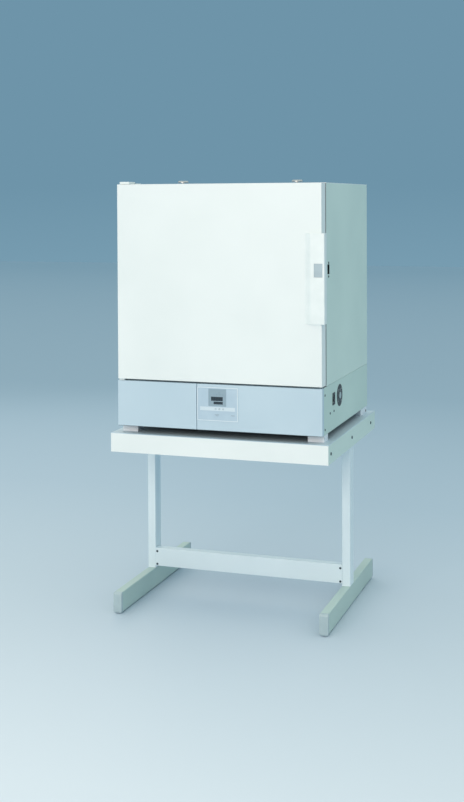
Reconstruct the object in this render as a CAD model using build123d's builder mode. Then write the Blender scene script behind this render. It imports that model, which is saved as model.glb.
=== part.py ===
from build123d import *
import math
import os

# Laboratory drying oven on its floor stand, in millimetres.
# The origin lies on the floor, under the centre of the stand's shelf: +X is the
# handle side, -Y is the front and +Z is up.

os.makedirs("parts", exist_ok=True)

# General sheet metal and clearances
sheet = 1.2
liner_sheet = 1.0
stand_sheet = 1.5
tube_wall = 2.0
seam = 0.8
seat_gap = 0.3
running_gap = 0.05
screw_hole_gap = 0.2
hinge_gap = 0.7

# Stand
stand_width = 754.0
stand_depth = 690.0
stand_height = 615.5
apron_height = 64.0
corner_angle_arm_x = 30.0
corner_angle_arm_y = 90.0
corner_angle_height = 50.0
leg_inset = 18.0
leg_width = 29.0
leg_depth = 52.0
leg_corner_radius = 2.5
leg_plate_x = 58.0
leg_plate_y = 180.0
leg_plate_thickness = 4.0
foot_length = 664.0
foot_width = 29.0
foot_height = 73.0
foot_bottom_radius = 11.0
foot_top_radius = 3.0
foot_cap_thickness = 12.0
foot_cap_round = 9.0
foot_plug_depth = 12.0
beam_height = 65.0
beam_depth = 30.0
beam_above_foot = 7.0
beam_edge_radius = 2.0
beam_screw_inset = 6.0
beam_screw_drop = 12.0
beam_screw_rise = 7.0

# Oven envelope
oven_width = 710.0
oven_depth = 650.0
door_setback = 11.0
pad_height = 24.0
pad_width = 54.0
pad_side_inset = 3.6
front_pad_setback = 34.6
front_pad_length = 49.4
rear_pad_length = 91.0
pad_screw_inset = 10.0
pad_screw_rise = 6.0
base_height = 153.8
cabinet_height = 658.7

# Base covers and controls
cover_depth = 52.0
cover_return = 20.0
cover_groove = 1.0
cover_top_gap = 1.2
cover_split_x = -72.5
cover_split_gap = 1.6
cover_edge_radius = 1.0
cover_screw_y = 33.0
cover_screw_spacing = 111.0
cover_screw_drop = 4.3
base_screw_y = 99.7
base_screw_pitch = 50.5
base_screw_z = 60.0
vent_slot_width = 5.0
vent_slot_length = 44.0
vent_slot_pitch = 13.0
vent_slots = 11
vent_x = -120.0
vent_z = 84.0
display_x = 1.0
display_z = 88.3
display_width = 141.0
display_height = 110.5
display_rim = 3.0
display_proud = 1.6
display_depth = 22.0
display_block_width = 61.5
display_block_shift = -0.7
display_block_height = 57.0
display_block_rise = 21.7
display_block_proud = 0.3
window_depth = 0.8
large_window_width = 40.7
large_window_height = 13.5
small_window_width = 32.0
small_window_height = 9.0
window_right = 18.4
large_window_z = 10.8
small_window_z = -0.4
strip_width = 122.0
strip_height = 12.5
strip_z = -15.5
strip_proud = 0.6
key_radius = 2.5
key_pitch = 13.0
key_centre_x = 7.0
key_proud = 1.2
key_length = 5.0
key_travel = 0.8
key_side_gap = 0.3
board_width = 124.0
board_height = 96.0
board_thickness = 1.6
relay_width = 46.0
relay_length = 60.0
relay_height = 30.0
relay_x = -220.0
relay_y = -80.0
terminal_width = 90.0
terminal_length = 32.0
terminal_height = 26.0
terminal_x = 180.0
terminal_y = 240.0
gland_x = 210.0
gland_z = 62.0
gland_radius = 15.0
gland_bore = 6.5
gland_thread_radius = 10.0
gland_length = 16.0
gland_nut_thickness = 6.0

# Breaker and over-temperature dial, measured back from the front and up from the pan
breaker_y = 146.5
breaker_z = 101.0
breaker_width = 31.0
breaker_height = 40.0
breaker_flange = 1.5
breaker_body_depth = 60.0
breaker_body_margin = 2.5
lever_width = 9.0
lever_side_gap = 0.5
lever_hub_radius = 7.0
lever_pin_radius = 1.5
lever_reach = 12.5
lever_thickness = 6.0
lever_rest_tilt = 25.0
lever_travel = 50.0
lever_pivot_depth = 8.0
dial_y = 228.0
dial_z = 101.0
dial_plate_radius = 37.0
dial_plate_thickness = 0.8
dial_knob_radius = 11.0
dial_knob_length = 2.4
dial_edge_radius = 0.6
dial_slot_width = 2.2
dial_slot_length = 15.0
dial_slot_depth = 1.4
dial_notch_radius = 1.0
dial_shaft_radius = 3.0
thermostat_size = 46.0
thermostat_depth = 34.0
thermostat_bore_depth = 20.0

# Chamber
chamber_side_space = 55.0
chamber_rear_space = 95.8
chamber_floor_space = 97.0
ceiling_space = 61.7
heater_space = 38.0
insulation_gap = 0.3
rear_insulation = 52.0
floor_slot_width = 8.0
floor_slot_length = 60.0
floor_slot_rows = 5
floor_slot_columns = 16
heater_radius = 4.0
heater_spacing = 300.0
heater_bend = 60.0
heater_front_margin = 70.0
heater_tail = 24.0
heater_height = 18.0
heater_flange_radius = 11.0
heater_flange_thickness = 2.0
probe_radius = 2.5
probe_length = 70.0
probe_x = -110.0
probe_z = 360.0
probe_flange_radius = 9.0
probe_flange_thickness = 3.0

# Shelves
lower_shelf_level = 150.0
upper_shelf_level = 325.0
shelf_side_gap = 6.0
shelf_front_margin = 14.0
shelf_rear_margin = 16.0
shelf_frame_radius = 3.0
shelf_rod_radius = 1.6
shelf_corner_radius = 12.0
shelf_rods = 23
runner_width = 16.0
runner_height = 12.0
runner_sheet = 1.5

# Exhaust
exhaust_x = 207.0
exhaust_y = 239.0
pipe_radius = 16.0
pipe_wall = 1.5
pipe_above_top = 3.0
collar_radius = 20.0
collar_height = 1.5
cap_radius = 18.5
cap_thickness = 7.0
cap_gap = 3.0
cap_edge_radius = 5.0
cap_stem_radius = 3.0
damper_thickness = 1.5
damper_depth = 18.0
damper_edge_gap = 0.6

# Door
door_thickness = 48.0
gasket_space = 5.0
door_side_reveal = 1.0
door_top_gap = 1.0
door_bottom_gap = 4.7
door_edge_radius = 1.5
plug_depth = 16.0
plug_margin = 12.0
plug_corner_radius = 14.0
gasket_width = 14.0
gasket_offset = 5.0
gasket_corner_radius = 24.0
hinge_axis_inset = 17.0
hinge_axis_depth = 13.0
hinge_pin_radius = 4.0
hinge_pin_length = 15.0
hinge_bush_radius = 7.0
hinge_bush_length = 14.0
hinge_plate_front = 5.0
top_hinge_width = 34.0
top_hinge_left_inset = 9.0
top_hinge_length = 100.0
top_hinge_arm_length = 51.0
top_hinge_arm_thickness = 7.5
top_hinge_foot_thickness = 2.5
bottom_hinge_width = 19.0
bottom_hinge_left_inset = 3.0
bottom_hinge_length = 92.0
bottom_hinge_thickness = 4.0
hinge_screw_inset = 12.0
hinge_screw_pitch = 24.0

# Handle and latch
handle_width_on_door = 56.0
handle_blend = 24.0
handle_proud = 10.0
handle_lip = 11.5
handle_lip_depth = 27.0
handle_bottom_z = 1000.0
handle_height = 290.0
handle_edge_radius = 3.0
handle_base_thickness = 1.5
push_key_right_inset = 7.3
push_key_width = 27.4
push_key_bottom = 1150.0
push_key_height = 43.0
push_key_gap = 0.4
push_key_thickness = 4.0
push_key_recess = 0.4
push_key_travel = 5.0
push_key_grooves = 3
push_key_groove_pitch = 4.5
push_key_groove_depth = 0.6
push_post_radius = 3.0
latch_inset = 12.5
latch_thickness = 5.0
latch_pivot_depth = 30.0
latch_pivot_z = 1165.0
latch_pin_radius = 2.0
latch_eye_radius = 7.0
latch_arm_height = 9.0
latch_push_height = 23.5
latch_nose_height = 7.0
latch_nose_length = 8.0
latch_play = 0.5
latch_bracket_width = 16.0
latch_bracket_sheet = 2.0
latch_bracket_bottom = 1144.0
latch_bracket_top = 1198.0
catch_bottom = 1140.0
catch_height = 57.0
catch_width = 22.8
catch_depth = 52.0
catch_wall = 12.8
catch_slot_width = 13.0
catch_slot_bottom = 1146.0
catch_slot_top = 1172.5
catch_window_bottom = 1155.0
catch_window_top = 1187.0
catch_window_y = 70.0
catch_window_width = 28.0

# Screws
small_screw_radius = 2.0
small_head_radius = 4.0
small_head_height = 1.6
large_screw_radius = 2.5
large_head_radius = 5.5
large_head_height = 2.5
screw_length = 10.0
stand_screw_front_inset = 32.5
stand_screw_middle_offset = 12.3
stand_screw_rear_inset = 72.5
stand_screw_drop = 32.0

# Levels and planes worked out from the sizes above
shelf_top_z = stand_height
shelf_under_z = stand_height - stand_sheet
pan_z = shelf_top_z + pad_height
seam_z = pan_z + base_height
top_z = seam_z + cabinet_height
cabinet_bottom_z = seam_z + seam
half_width = oven_width / 2
half_stand_x = stand_width / 2
half_stand_y = stand_depth / 2
front_y = -half_stand_y + door_setback
rear_y = front_y + oven_depth
oven_centre_y = (front_y + rear_y) / 2
door_rear_y = front_y + door_thickness
frame_y = door_rear_y + gasket_space
frame_back_y = frame_y + sheet
side_inner_x = half_width - sheet
rear_inner_y = rear_y - sheet
ceiling_z = top_z - ceiling_space
chamber_floor_z = seam_z + chamber_floor_space
chamber_height = ceiling_z - chamber_floor_z
chamber_base_z = chamber_floor_z - heater_space
half_chamber = half_width - chamber_side_space
chamber_rear_y = rear_y - chamber_rear_space
door_bottom_z = seam_z + door_bottom_gap
door_top_z = top_z - door_top_gap
half_door = half_width - door_side_reveal
hinge_x = -half_width + hinge_axis_inset
hinge_y = front_y + hinge_axis_depth
leg_x = half_stand_x - leg_inset
leg_front_y = oven_centre_y - leg_depth / 2
beam_z = foot_height + beam_above_foot
display_centre_z = pan_z + display_z
exhaust_plane_y = front_y + exhaust_y
latch_x = half_door - latch_inset
catch_inner_x = side_inner_x - catch_width
shelf_levels = (lower_shelf_level, upper_shelf_level)


def cuboid(x, y, z, mode=Mode.ADD):
    """Box between the low and high X, Y and Z of the open part."""
    with Locations(((x[0] + x[1]) / 2, (y[0] + y[1]) / 2, (z[0] + z[1]) / 2)):
        Box(x[1] - x[0], y[1] - y[0], z[1] - z[0], mode=mode)


def rod(axis, centre, radius, length, mode=Mode.ADD):
    """Round bar along X, Y or Z whose middle is at centre."""
    turn = {"X": (0, 90, 0), "Y": (90, 0, 0), "Z": (0, 0, 0)}[axis]
    with Locations(Location(centre, turn)):
        Cylinder(radius, length, mode=mode)


def rod_between(axis, start, end, across, radius, mode=Mode.ADD):
    """Round bar along an axis from start to end, at the two other coordinates."""
    middle = (start + end) / 2
    first, second = across
    centre = {"X": (middle, first, second), "Y": (first, middle, second),
              "Z": (first, second, middle)}[axis]
    rod(axis, centre, radius, abs(end - start), mode)


def screw(axis, seat, outward, across, shank, head, head_height, length):
    """Pan-head screw whose head sits on the face at seat and points outward."""
    rod_between(axis, seat - outward * length, seat, across, shank)
    rod_between(axis, seat, seat + outward * head_height, across, head)


def mirrored(side, low, high):
    """Low and high X of a piece on the left (-1) or right (+1) side."""
    return tuple(sorted((side * low, side * high)))


def front_plane(y):
    """Sketch plane facing the front at y: its local axes are X and Z."""
    return Plane(origin=(0, y, 0), x_dir=(1, 0, 0), z_dir=(0, -1, 0))


def save(piece, name):
    """Labels a finished piece and writes it as one STEP file."""
    piece.part.label = name
    export_step(piece.part, f"parts/{name}.step")


def save_box(name, x, y, z):
    """Writes a plain flat sheet or slab."""
    with BuildPart() as panel:
        cuboid(x, y, z)
    save(panel, name)


# Stand: shelf plate and aprons

save_box("stand_shelf", (-half_stand_x, half_stand_x), (-half_stand_y, half_stand_y),
         (shelf_under_z, shelf_top_z))

apron_bottom_z = stand_height - apron_height
apron_inner_x = half_stand_x - stand_sheet
apron_inner_y = half_stand_y - stand_sheet
stand_screw_z = stand_height - stand_screw_drop
stand_screw_places = [-half_stand_y + stand_screw_front_inset,
                      oven_centre_y - stand_screw_middle_offset,
                      half_stand_y - stand_screw_rear_inset]

with BuildPart() as stand_end_aprons:
    for end in (-1, 1):
        cuboid((-half_stand_x, half_stand_x), sorted((end * apron_inner_y, end * half_stand_y)),
               (apron_bottom_z, shelf_under_z))
save(stand_end_aprons, "stand_end_aprons")

with BuildPart() as stand_side_aprons:
    for side in (-1, 1):
        cuboid(mirrored(side, apron_inner_x, half_stand_x), (-apron_inner_y, apron_inner_y),
               (apron_bottom_z, shelf_under_z))
        for screw_y in stand_screw_places:
            rod("X", (side * half_stand_x, screw_y, stand_screw_z),
                large_screw_radius + screw_hole_gap, 4 * stand_sheet, Mode.SUBTRACT)
save(stand_side_aprons, "stand_side_aprons")

# Angles that join the aprons inside the four corners
with BuildPart() as corner_angles:
    for side in (-1, 1):
        for end in (-1, 1):
            outer_y = end * apron_inner_y
            inner_y = end * (apron_inner_y - corner_angle_arm_y)
            plate_y = end * (apron_inner_y - tube_wall)
            cuboid(mirrored(side, apron_inner_x - tube_wall, apron_inner_x),
                   sorted((inner_y, outer_y)),
                   (shelf_under_z - corner_angle_height, shelf_under_z))
            cuboid(mirrored(side, apron_inner_x - corner_angle_arm_x, apron_inner_x),
                   sorted((plate_y, outer_y)),
                   (shelf_under_z - corner_angle_height, shelf_under_z))
        for screw_y in (stand_screw_places[0], stand_screw_places[-1]):
            rod("X", (side * apron_inner_x, screw_y, stand_screw_z),
                large_screw_radius + screw_hole_gap, 4 * tube_wall, Mode.SUBTRACT)
save(corner_angles, "corner_angles")

# Stand: upright legs with a welded plate under the shelf
leg_outer_x = leg_x + leg_width / 2
leg_inner_x = leg_x - leg_width / 2
leg_top_z = shelf_under_z - leg_plate_thickness

with BuildPart() as stand_legs:
    for side in (-1, 1):
        cuboid(mirrored(side, leg_inner_x, leg_outer_x),
               (leg_front_y, leg_front_y + leg_depth), (foot_height, leg_top_z))
    fillet(stand_legs.edges().filter_by(Axis.Z), leg_corner_radius)
    for side in (-1, 1):
        cuboid(mirrored(side, leg_inner_x + tube_wall, leg_outer_x - tube_wall),
               (leg_front_y + tube_wall, leg_front_y + leg_depth - tube_wall),
               (foot_height + tube_wall, leg_top_z), Mode.SUBTRACT)
        cuboid(mirrored(side, leg_outer_x - leg_plate_x, leg_outer_x),
               (oven_centre_y - leg_plate_y / 2, oven_centre_y + leg_plate_y / 2),
               (leg_top_z, shelf_under_z))
        rod("X", (side * leg_outer_x, stand_screw_places[1], stand_screw_z),
            large_screw_radius + screw_hole_gap, 4 * tube_wall, Mode.SUBTRACT)
save(stand_legs, "stand_legs")

foot_front_y = oven_centre_y - foot_length / 2
foot_rear_y = oven_centre_y + foot_length / 2


def foot_profile(x, y, shrink):
    """Outline of a foot tube's outside, or of its bore when shrunk by the wall."""
    plane = Plane(origin=(x, y, foot_height / 2), x_dir=(1, 0, 0), z_dir=(0, -1, 0))
    with BuildSketch(plane) as profile:
        Rectangle(foot_width - 2 * shrink, foot_height - 2 * shrink)
        low_corners = profile.vertices().sort_by(Axis.Y)[:2]
        fillet(low_corners, foot_bottom_radius - shrink)
        high_corners = profile.vertices().sort_by(Axis.Y)[-2:]
        fillet(high_corners, foot_top_radius - shrink / 2)
    return profile.sketch


tube_front_y = foot_front_y + foot_cap_thickness
tube_rear_y = foot_rear_y - foot_cap_thickness
tube_length = tube_rear_y - tube_front_y

with BuildPart() as stand_feet:
    for side in (-1, 1):
        extrude(foot_profile(side * leg_x, tube_front_y, 0), amount=-tube_length)
        extrude(foot_profile(side * leg_x, tube_front_y, tube_wall), amount=-tube_length,
                mode=Mode.SUBTRACT)
save(stand_feet, "stand_feet")

# End caps: a rounded cover with the tube's outline and a plug inside its bore
plug_shrink = tube_wall + seat_gap
with BuildPart() as foot_end_caps:
    for side in (-1, 1):
        extrude(foot_profile(side * leg_x, foot_front_y, 0), amount=-foot_cap_thickness)
        extrude(foot_profile(side * leg_x, tube_rear_y, 0), amount=-foot_cap_thickness)
    side_view = Plane(origin=(-half_stand_x, oven_centre_y, foot_height / 2), x_dir=(0, 1, 0),
                      z_dir=(1, 0, 0))
    with BuildSketch(side_view):
        RectangleRounded(foot_length, foot_height, foot_cap_round)
    extrude(amount=stand_width, mode=Mode.INTERSECT)
    for side in (-1, 1):
        extrude(foot_profile(side * leg_x, tube_front_y, plug_shrink), amount=-foot_plug_depth)
        extrude(foot_profile(side * leg_x, tube_rear_y, plug_shrink), amount=foot_plug_depth)
save(foot_end_caps, "foot_end_caps")

# Cross beam: a channel between the legs, open to the rear, with closed ends
beam_screw_x = leg_inner_x - beam_screw_inset
beam_screw_zs = (beam_z + beam_screw_rise, beam_z + beam_height - beam_screw_drop)
with BuildPart() as cross_beam:
    cuboid((-leg_inner_x, leg_inner_x), (leg_front_y, leg_front_y + beam_depth),
           (beam_z, beam_z + beam_height))
    fillet(cross_beam.faces().sort_by(Axis.Y)[0].edges().filter_by(Axis.X), beam_edge_radius)
    cuboid((-leg_inner_x + tube_wall, leg_inner_x - tube_wall),
           (leg_front_y + tube_wall, leg_front_y + beam_depth),
           (beam_z + tube_wall, beam_z + beam_height - tube_wall), Mode.SUBTRACT)
    for side in (-1, 1):
        for screw_z in beam_screw_zs:
            rod("Y", (side * beam_screw_x, leg_front_y, screw_z),
                small_screw_radius + screw_hole_gap, 4 * tube_wall, Mode.SUBTRACT)
save(cross_beam, "cross_beam")

with BuildPart() as stand_screws:
    for side in (-1, 1):
        for screw_y in stand_screw_places:
            screw("X", side * half_stand_x, side, (screw_y, stand_screw_z), large_screw_radius,
                  large_head_radius, large_head_height, screw_length)
        for screw_z in beam_screw_zs:
            screw("Y", leg_front_y, -1, (side * beam_screw_x, screw_z), small_screw_radius,
                  small_head_radius, small_head_height, screw_length)
save(stand_screws, "stand_screws")

# Base of the oven: pads, pan, sides, rear and deck

pad_outer_x = half_width - pad_side_inset
pad_screw_y = rear_y - pad_screw_inset
pad_screw_z = shelf_top_z + pad_screw_rise
with BuildPart() as support_pads:
    for side in (-1, 1):
        pad_x = mirrored(side, pad_outer_x - pad_width, pad_outer_x)
        front_pad_y = front_y + front_pad_setback
        cuboid(pad_x, (front_pad_y, front_pad_y + front_pad_length), (shelf_top_z, pan_z))
        cuboid(pad_x, (rear_y - rear_pad_length, rear_y), (shelf_top_z, pan_z))
        rod("X", (side * pad_outer_x, pad_screw_y, pad_screw_z), small_screw_radius + screw_hole_gap,
            2 * (screw_length + seat_gap), Mode.SUBTRACT)
save(support_pads, "support_pads")

save_box("base_pan", (-side_inner_x, side_inner_x), (front_y + 2 * sheet, rear_inner_y),
         (pan_z, pan_z + sheet))

breaker_plane_y = front_y + breaker_y
breaker_plane_z = pan_z + breaker_z
dial_plane_y = front_y + dial_y
dial_plane_z = pan_z + dial_z
base_screw_plane_z = pan_z + base_screw_z
base_screw_places = [front_y + base_screw_y + step * base_screw_pitch for step in (0, 1)]
cover_seat_y = front_y + cover_return + cover_groove
cover_screw_plane_y = front_y + cover_screw_y
cover_screw_zs = [(pan_z + seam_z) / 2 - cover_screw_drop + offset * cover_screw_spacing
                  for offset in (-0.5, 0.5)]

with BuildPart() as base_sides:
    for side in (-1, 1):
        cuboid(mirrored(side, side_inner_x, half_width), (cover_seat_y, rear_y), (pan_z, seam_z))
        for screw_z in cover_screw_zs:
            rod("X", (side * half_width, cover_screw_plane_y, screw_z),
                small_screw_radius + screw_hole_gap, 4 * sheet, Mode.SUBTRACT)
    breaker_hole_y = breaker_width / 2 - breaker_body_margin + screw_hole_gap
    breaker_hole_z = breaker_height / 2 - breaker_body_margin + screw_hole_gap
    cuboid((side_inner_x - sheet, half_width + sheet),
           (breaker_plane_y - breaker_hole_y, breaker_plane_y + breaker_hole_y),
           (breaker_plane_z - breaker_hole_z, breaker_plane_z + breaker_hole_z), Mode.SUBTRACT)
    rod("X", (half_width, dial_plane_y, dial_plane_z), dial_shaft_radius + seat_gap, 4 * sheet,
        Mode.SUBTRACT)
    for screw_y in base_screw_places:
        rod("X", (half_width, screw_y, base_screw_plane_z), small_screw_radius + screw_hole_gap,
            4 * sheet, Mode.SUBTRACT)
save(base_sides, "base_sides")

gland_plane_z = pan_z + gland_z
with BuildPart() as base_rear:
    cuboid((-side_inner_x, side_inner_x), (rear_inner_y, rear_y), (pan_z, seam_z))
    rod("Y", (gland_x, rear_y, gland_plane_z), gland_thread_radius + screw_hole_gap, 4 * sheet,
        Mode.SUBTRACT)
    with BuildSketch(front_plane(rear_y + sheet)):
        with Locations((vent_x, pan_z + vent_z)):
            with GridLocations(vent_slot_pitch, vent_slot_length, vent_slots, 1):
                SlotOverall(vent_slot_length, vent_slot_width, rotation=90)
    extrude(amount=4 * sheet, mode=Mode.SUBTRACT)
save(base_rear, "base_rear")

save_box("base_deck", (-side_inner_x, side_inner_x), (frame_y, rear_inner_y),
         (seam_z - sheet, seam_z))

with BuildPart() as mains_gland:
    with BuildSketch(front_plane(rear_y + gland_nut_thickness)):
        with Locations((gland_x, gland_plane_z)):
            RegularPolygon(gland_radius, 6)
    extrude(amount=gland_nut_thickness)
    rod_between("Y", rear_y + gland_nut_thickness, rear_y + gland_length,
                (gland_x, gland_plane_z), gland_thread_radius + 2 * sheet)
    rod_between("Y", rear_inner_y - gland_nut_thickness, rear_y, (gland_x, gland_plane_z),
                gland_thread_radius)
    rod("Y", (gland_x, rear_y, gland_plane_z), gland_bore, 4 * gland_length, Mode.SUBTRACT)
save(mains_gland, "mains_gland")


def front_cover(split_edge_x, side):
    """Folded cover with a plain front, short returns and a tongue that lies inside the base side."""
    bottom_z = pan_z + sheet
    cover_top_z = seam_z - cover_top_gap
    tongue_x = side_inner_x - seat_gap
    with BuildPart() as cover:
        cuboid(sorted((split_edge_x, side * half_width)), (front_y, front_y + cover_depth),
               (bottom_z, cover_top_z))
        fillet(cover.faces().sort_by(Axis.Y)[0].edges(), cover_edge_radius)
        cuboid(mirrored(side, tongue_x, half_width + sheet),
               (front_y + cover_return, front_y + cover_depth + sheet), (pan_z, seam_z),
               Mode.SUBTRACT)
        cuboid(sorted((split_edge_x + side * sheet, side * (tongue_x - sheet))),
               (front_y + sheet, front_y + cover_depth + sheet),
               (bottom_z + sheet, cover_top_z - sheet), Mode.SUBTRACT)
        for screw_z in cover_screw_zs:
            rod("X", (side * tongue_x, cover_screw_plane_y, screw_z),
                small_screw_radius + screw_hole_gap, 4 * sheet, Mode.SUBTRACT)
    return cover


save(front_cover(cover_split_x - cover_split_gap / 2, -1), "left_front_cover")

display_body_width = display_width - 2 * display_rim
display_body_height = display_height - 2 * display_rim
with BuildPart() as control_panel:
    add(front_cover(cover_split_x + cover_split_gap / 2, 1).part)
    with BuildSketch(front_plane(front_y - sheet)):
        with Locations((display_x, display_centre_z)):
            Rectangle(display_body_width + 2 * screw_hole_gap,
                      display_body_height + 2 * screw_hole_gap)
    extrude(amount=-4 * sheet, mode=Mode.SUBTRACT)
save(control_panel, "control_panel")

# Controller in the front panel: housing with two windows and a raised strip of keys

display_front_y = front_y - display_proud
block_z = display_centre_z + display_block_rise
strip_plane_z = display_centre_z + strip_z
key_xs = [key_centre_x + step * key_pitch for step in (-1, 0, 1)]
windows = (
    (large_window_width, large_window_height, large_window_z),
    (small_window_width, small_window_height, small_window_z),
)
with BuildPart() as display_module:
    with BuildSketch(front_plane(front_y)):
        with Locations((display_x, display_centre_z)):
            Rectangle(display_width, display_height)
    extrude(amount=display_proud)
    cuboid((display_x - display_body_width / 2, display_x + display_body_width / 2),
           (front_y, front_y + display_depth),
           (display_centre_z - display_body_height / 2, display_centre_z + display_body_height / 2))
    with BuildSketch(front_plane(display_front_y)):
        with Locations((display_x, strip_plane_z)):
            Rectangle(strip_width, strip_height)
    extrude(amount=strip_proud)
    with BuildSketch(front_plane(display_front_y)):
        with Locations((display_x + display_block_shift, block_z)):
            Rectangle(display_block_width, display_block_height)
    extrude(amount=display_block_proud)
    for width, height, rise in windows:
        cuboid((display_x + window_right - width, display_x + window_right),
               (display_front_y - 2 * display_block_proud, display_front_y + window_depth),
               (display_centre_z + rise, display_centre_z + rise + height), Mode.SUBTRACT)
    for key_x in key_xs:
        rod_between("Y", display_front_y - 2 * strip_proud, display_front_y + key_length,
                    (key_x, strip_plane_z), key_radius + key_side_gap, Mode.SUBTRACT)
save(display_module, "display_module")

with BuildPart() as display_windows:
    for width, height, rise in windows:
        cuboid((display_x + window_right - width, display_x + window_right),
               (display_front_y + running_gap, display_front_y + window_depth),
               (display_centre_z + rise, display_centre_z + rise + height))
save(display_windows, "display_windows")

key_front_y = display_front_y - strip_proud - key_proud
for number, key_x in enumerate(key_xs, start=1):
    with BuildPart() as key:
        rod_between("Y", key_front_y, display_front_y + key_length - key_travel - seat_gap,
                    (key_x, strip_plane_z), key_radius)
        fillet(key.faces().sort_by(Axis.Y)[0].edges(), seat_gap)
    save(key, f"key_{number}")

board_y = front_y + display_depth
save_box("control_board", (display_x - board_width / 2, display_x + board_width / 2),
         (board_y, board_y + board_thickness),
         (display_centre_z - board_height / 2, display_centre_z + board_height / 2))
pan_top_z = pan_z + sheet
save_box("solid_state_relay", (relay_x - relay_width / 2, relay_x + relay_width / 2),
         (relay_y - relay_length / 2, relay_y + relay_length / 2),
         (pan_top_z, pan_top_z + relay_height))
save_box("terminal_block", (terminal_x - terminal_width / 2, terminal_x + terminal_width / 2),
         (terminal_y - terminal_length / 2, terminal_y + terminal_length / 2),
         (pan_top_z, pan_top_z + terminal_height))

# Circuit breaker in the right side of the base, with a lever that flips up

lever_axis_x = half_width - lever_pivot_depth
lever_slot_half_y = lever_width / 2 + lever_side_gap
lever_slot_half_z = lever_reach * math.sin(math.radians(lever_travel / 2)) + lever_hub_radius
with BuildPart() as breaker_body:
    body_half_y = breaker_width / 2 - breaker_body_margin
    body_half_z = breaker_height / 2 - breaker_body_margin
    cuboid((half_width, half_width + breaker_flange),
           (breaker_plane_y - breaker_width / 2, breaker_plane_y + breaker_width / 2),
           (breaker_plane_z - breaker_height / 2, breaker_plane_z + breaker_height / 2))
    cuboid((half_width - breaker_body_depth, half_width),
           (breaker_plane_y - body_half_y, breaker_plane_y + body_half_y),
           (breaker_plane_z - body_half_z, breaker_plane_z + body_half_z))
    cuboid((lever_axis_x - lever_hub_radius - lever_side_gap, half_width + 2 * breaker_flange),
           (breaker_plane_y - lever_slot_half_y, breaker_plane_y + lever_slot_half_y),
           (breaker_plane_z - lever_slot_half_z, breaker_plane_z + lever_slot_half_z),
           Mode.SUBTRACT)
    rod("Y", (lever_axis_x, breaker_plane_y, breaker_plane_z), lever_pin_radius,
        2 * lever_slot_half_y)
save(breaker_body, "breaker_body")

with BuildPart() as breaker_lever:
    lever_plane = Plane(origin=(lever_axis_x, breaker_plane_y + lever_width / 2, breaker_plane_z),
                        x_dir=(math.cos(math.radians(lever_rest_tilt)), 0,
                               -math.sin(math.radians(lever_rest_tilt))),
                        z_dir=(0, -1, 0))
    with BuildSketch(lever_plane):
        Circle(lever_hub_radius)
        with Locations((lever_reach / 2, 0)):
            Rectangle(lever_reach, lever_thickness)
        Circle(lever_pin_radius + running_gap, mode=Mode.SUBTRACT)
    extrude(amount=lever_width)
save(breaker_lever, "breaker_lever")

# Over-temperature dial: scale plate, a low disc turned with a coin, and the thermostat inside

with BuildPart() as dial_plate:
    rod_between("X", half_width, half_width + dial_plate_thickness,
                (dial_plane_y, dial_plane_z), dial_plate_radius)
    rod("X", (half_width, dial_plane_y, dial_plane_z), dial_shaft_radius + seat_gap,
        4 * dial_plate_thickness, Mode.SUBTRACT)
save(dial_plate, "dial_plate")

knob_base_x = half_width + dial_plate_thickness + seat_gap
with BuildPart() as dial_knob:
    rod_between("X", knob_base_x, knob_base_x + dial_knob_length,
                (dial_plane_y, dial_plane_z), dial_knob_radius)
    fillet(dial_knob.faces().sort_by(Axis.X)[-1].edges(), dial_edge_radius)
    knob_face_x = knob_base_x + dial_knob_length
    cuboid((knob_face_x - dial_slot_depth, knob_face_x + dial_slot_depth),
           (dial_plane_y - dial_slot_width / 2, dial_plane_y + dial_slot_width / 2),
           (dial_plane_z - dial_slot_length / 2, dial_plane_z + dial_slot_length / 2),
           Mode.SUBTRACT)
    rod("X", (knob_face_x, dial_plane_y, dial_plane_z + dial_knob_radius), dial_notch_radius,
        2 * dial_slot_depth, Mode.SUBTRACT)
    rod_between("X", side_inner_x - thermostat_bore_depth + seat_gap, knob_base_x,
                (dial_plane_y, dial_plane_z), dial_shaft_radius)
save(dial_knob, "dial_knob")

with BuildPart() as thermostat:
    cuboid((side_inner_x - thermostat_depth, side_inner_x),
           (dial_plane_y - thermostat_size / 2, dial_plane_y + thermostat_size / 2),
           (dial_plane_z - thermostat_size / 2, dial_plane_z + thermostat_size / 2))
    rod_between("X", side_inner_x - thermostat_bore_depth, side_inner_x + sheet,
                (dial_plane_y, dial_plane_z), dial_shaft_radius + running_gap, Mode.SUBTRACT)
save(thermostat, "thermostat")

# Cabinet: sides, top, rear and the front frame round the chamber's mouth

catch_front_y = frame_back_y
catch_mid_y = front_y + catch_window_y + catch_window_width / 2
catch_screw_zs = ((catch_bottom + catch_window_bottom) / 2,
                  (catch_bottom + catch_height + catch_window_top) / 2)
catch_block_y = (catch_front_y, catch_front_y + catch_depth)
side_window_y = (front_y + catch_window_y, front_y + catch_window_y + catch_window_width)
side_top_z = top_z - sheet

with BuildPart() as cabinet_sides:
    for side in (-1, 1):
        cuboid(mirrored(side, side_inner_x, half_width), (frame_back_y, rear_y),
               (cabinet_bottom_z, side_top_z))
    cuboid((side_inner_x - sheet, half_width + sheet), side_window_y,
           (catch_window_bottom, catch_window_top), Mode.SUBTRACT)
    for screw_z in catch_screw_zs:
        rod("X", (half_width, catch_mid_y, screw_z), small_screw_radius + screw_hole_gap,
            4 * sheet, Mode.SUBTRACT)
save(cabinet_sides, "cabinet_sides")

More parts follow.
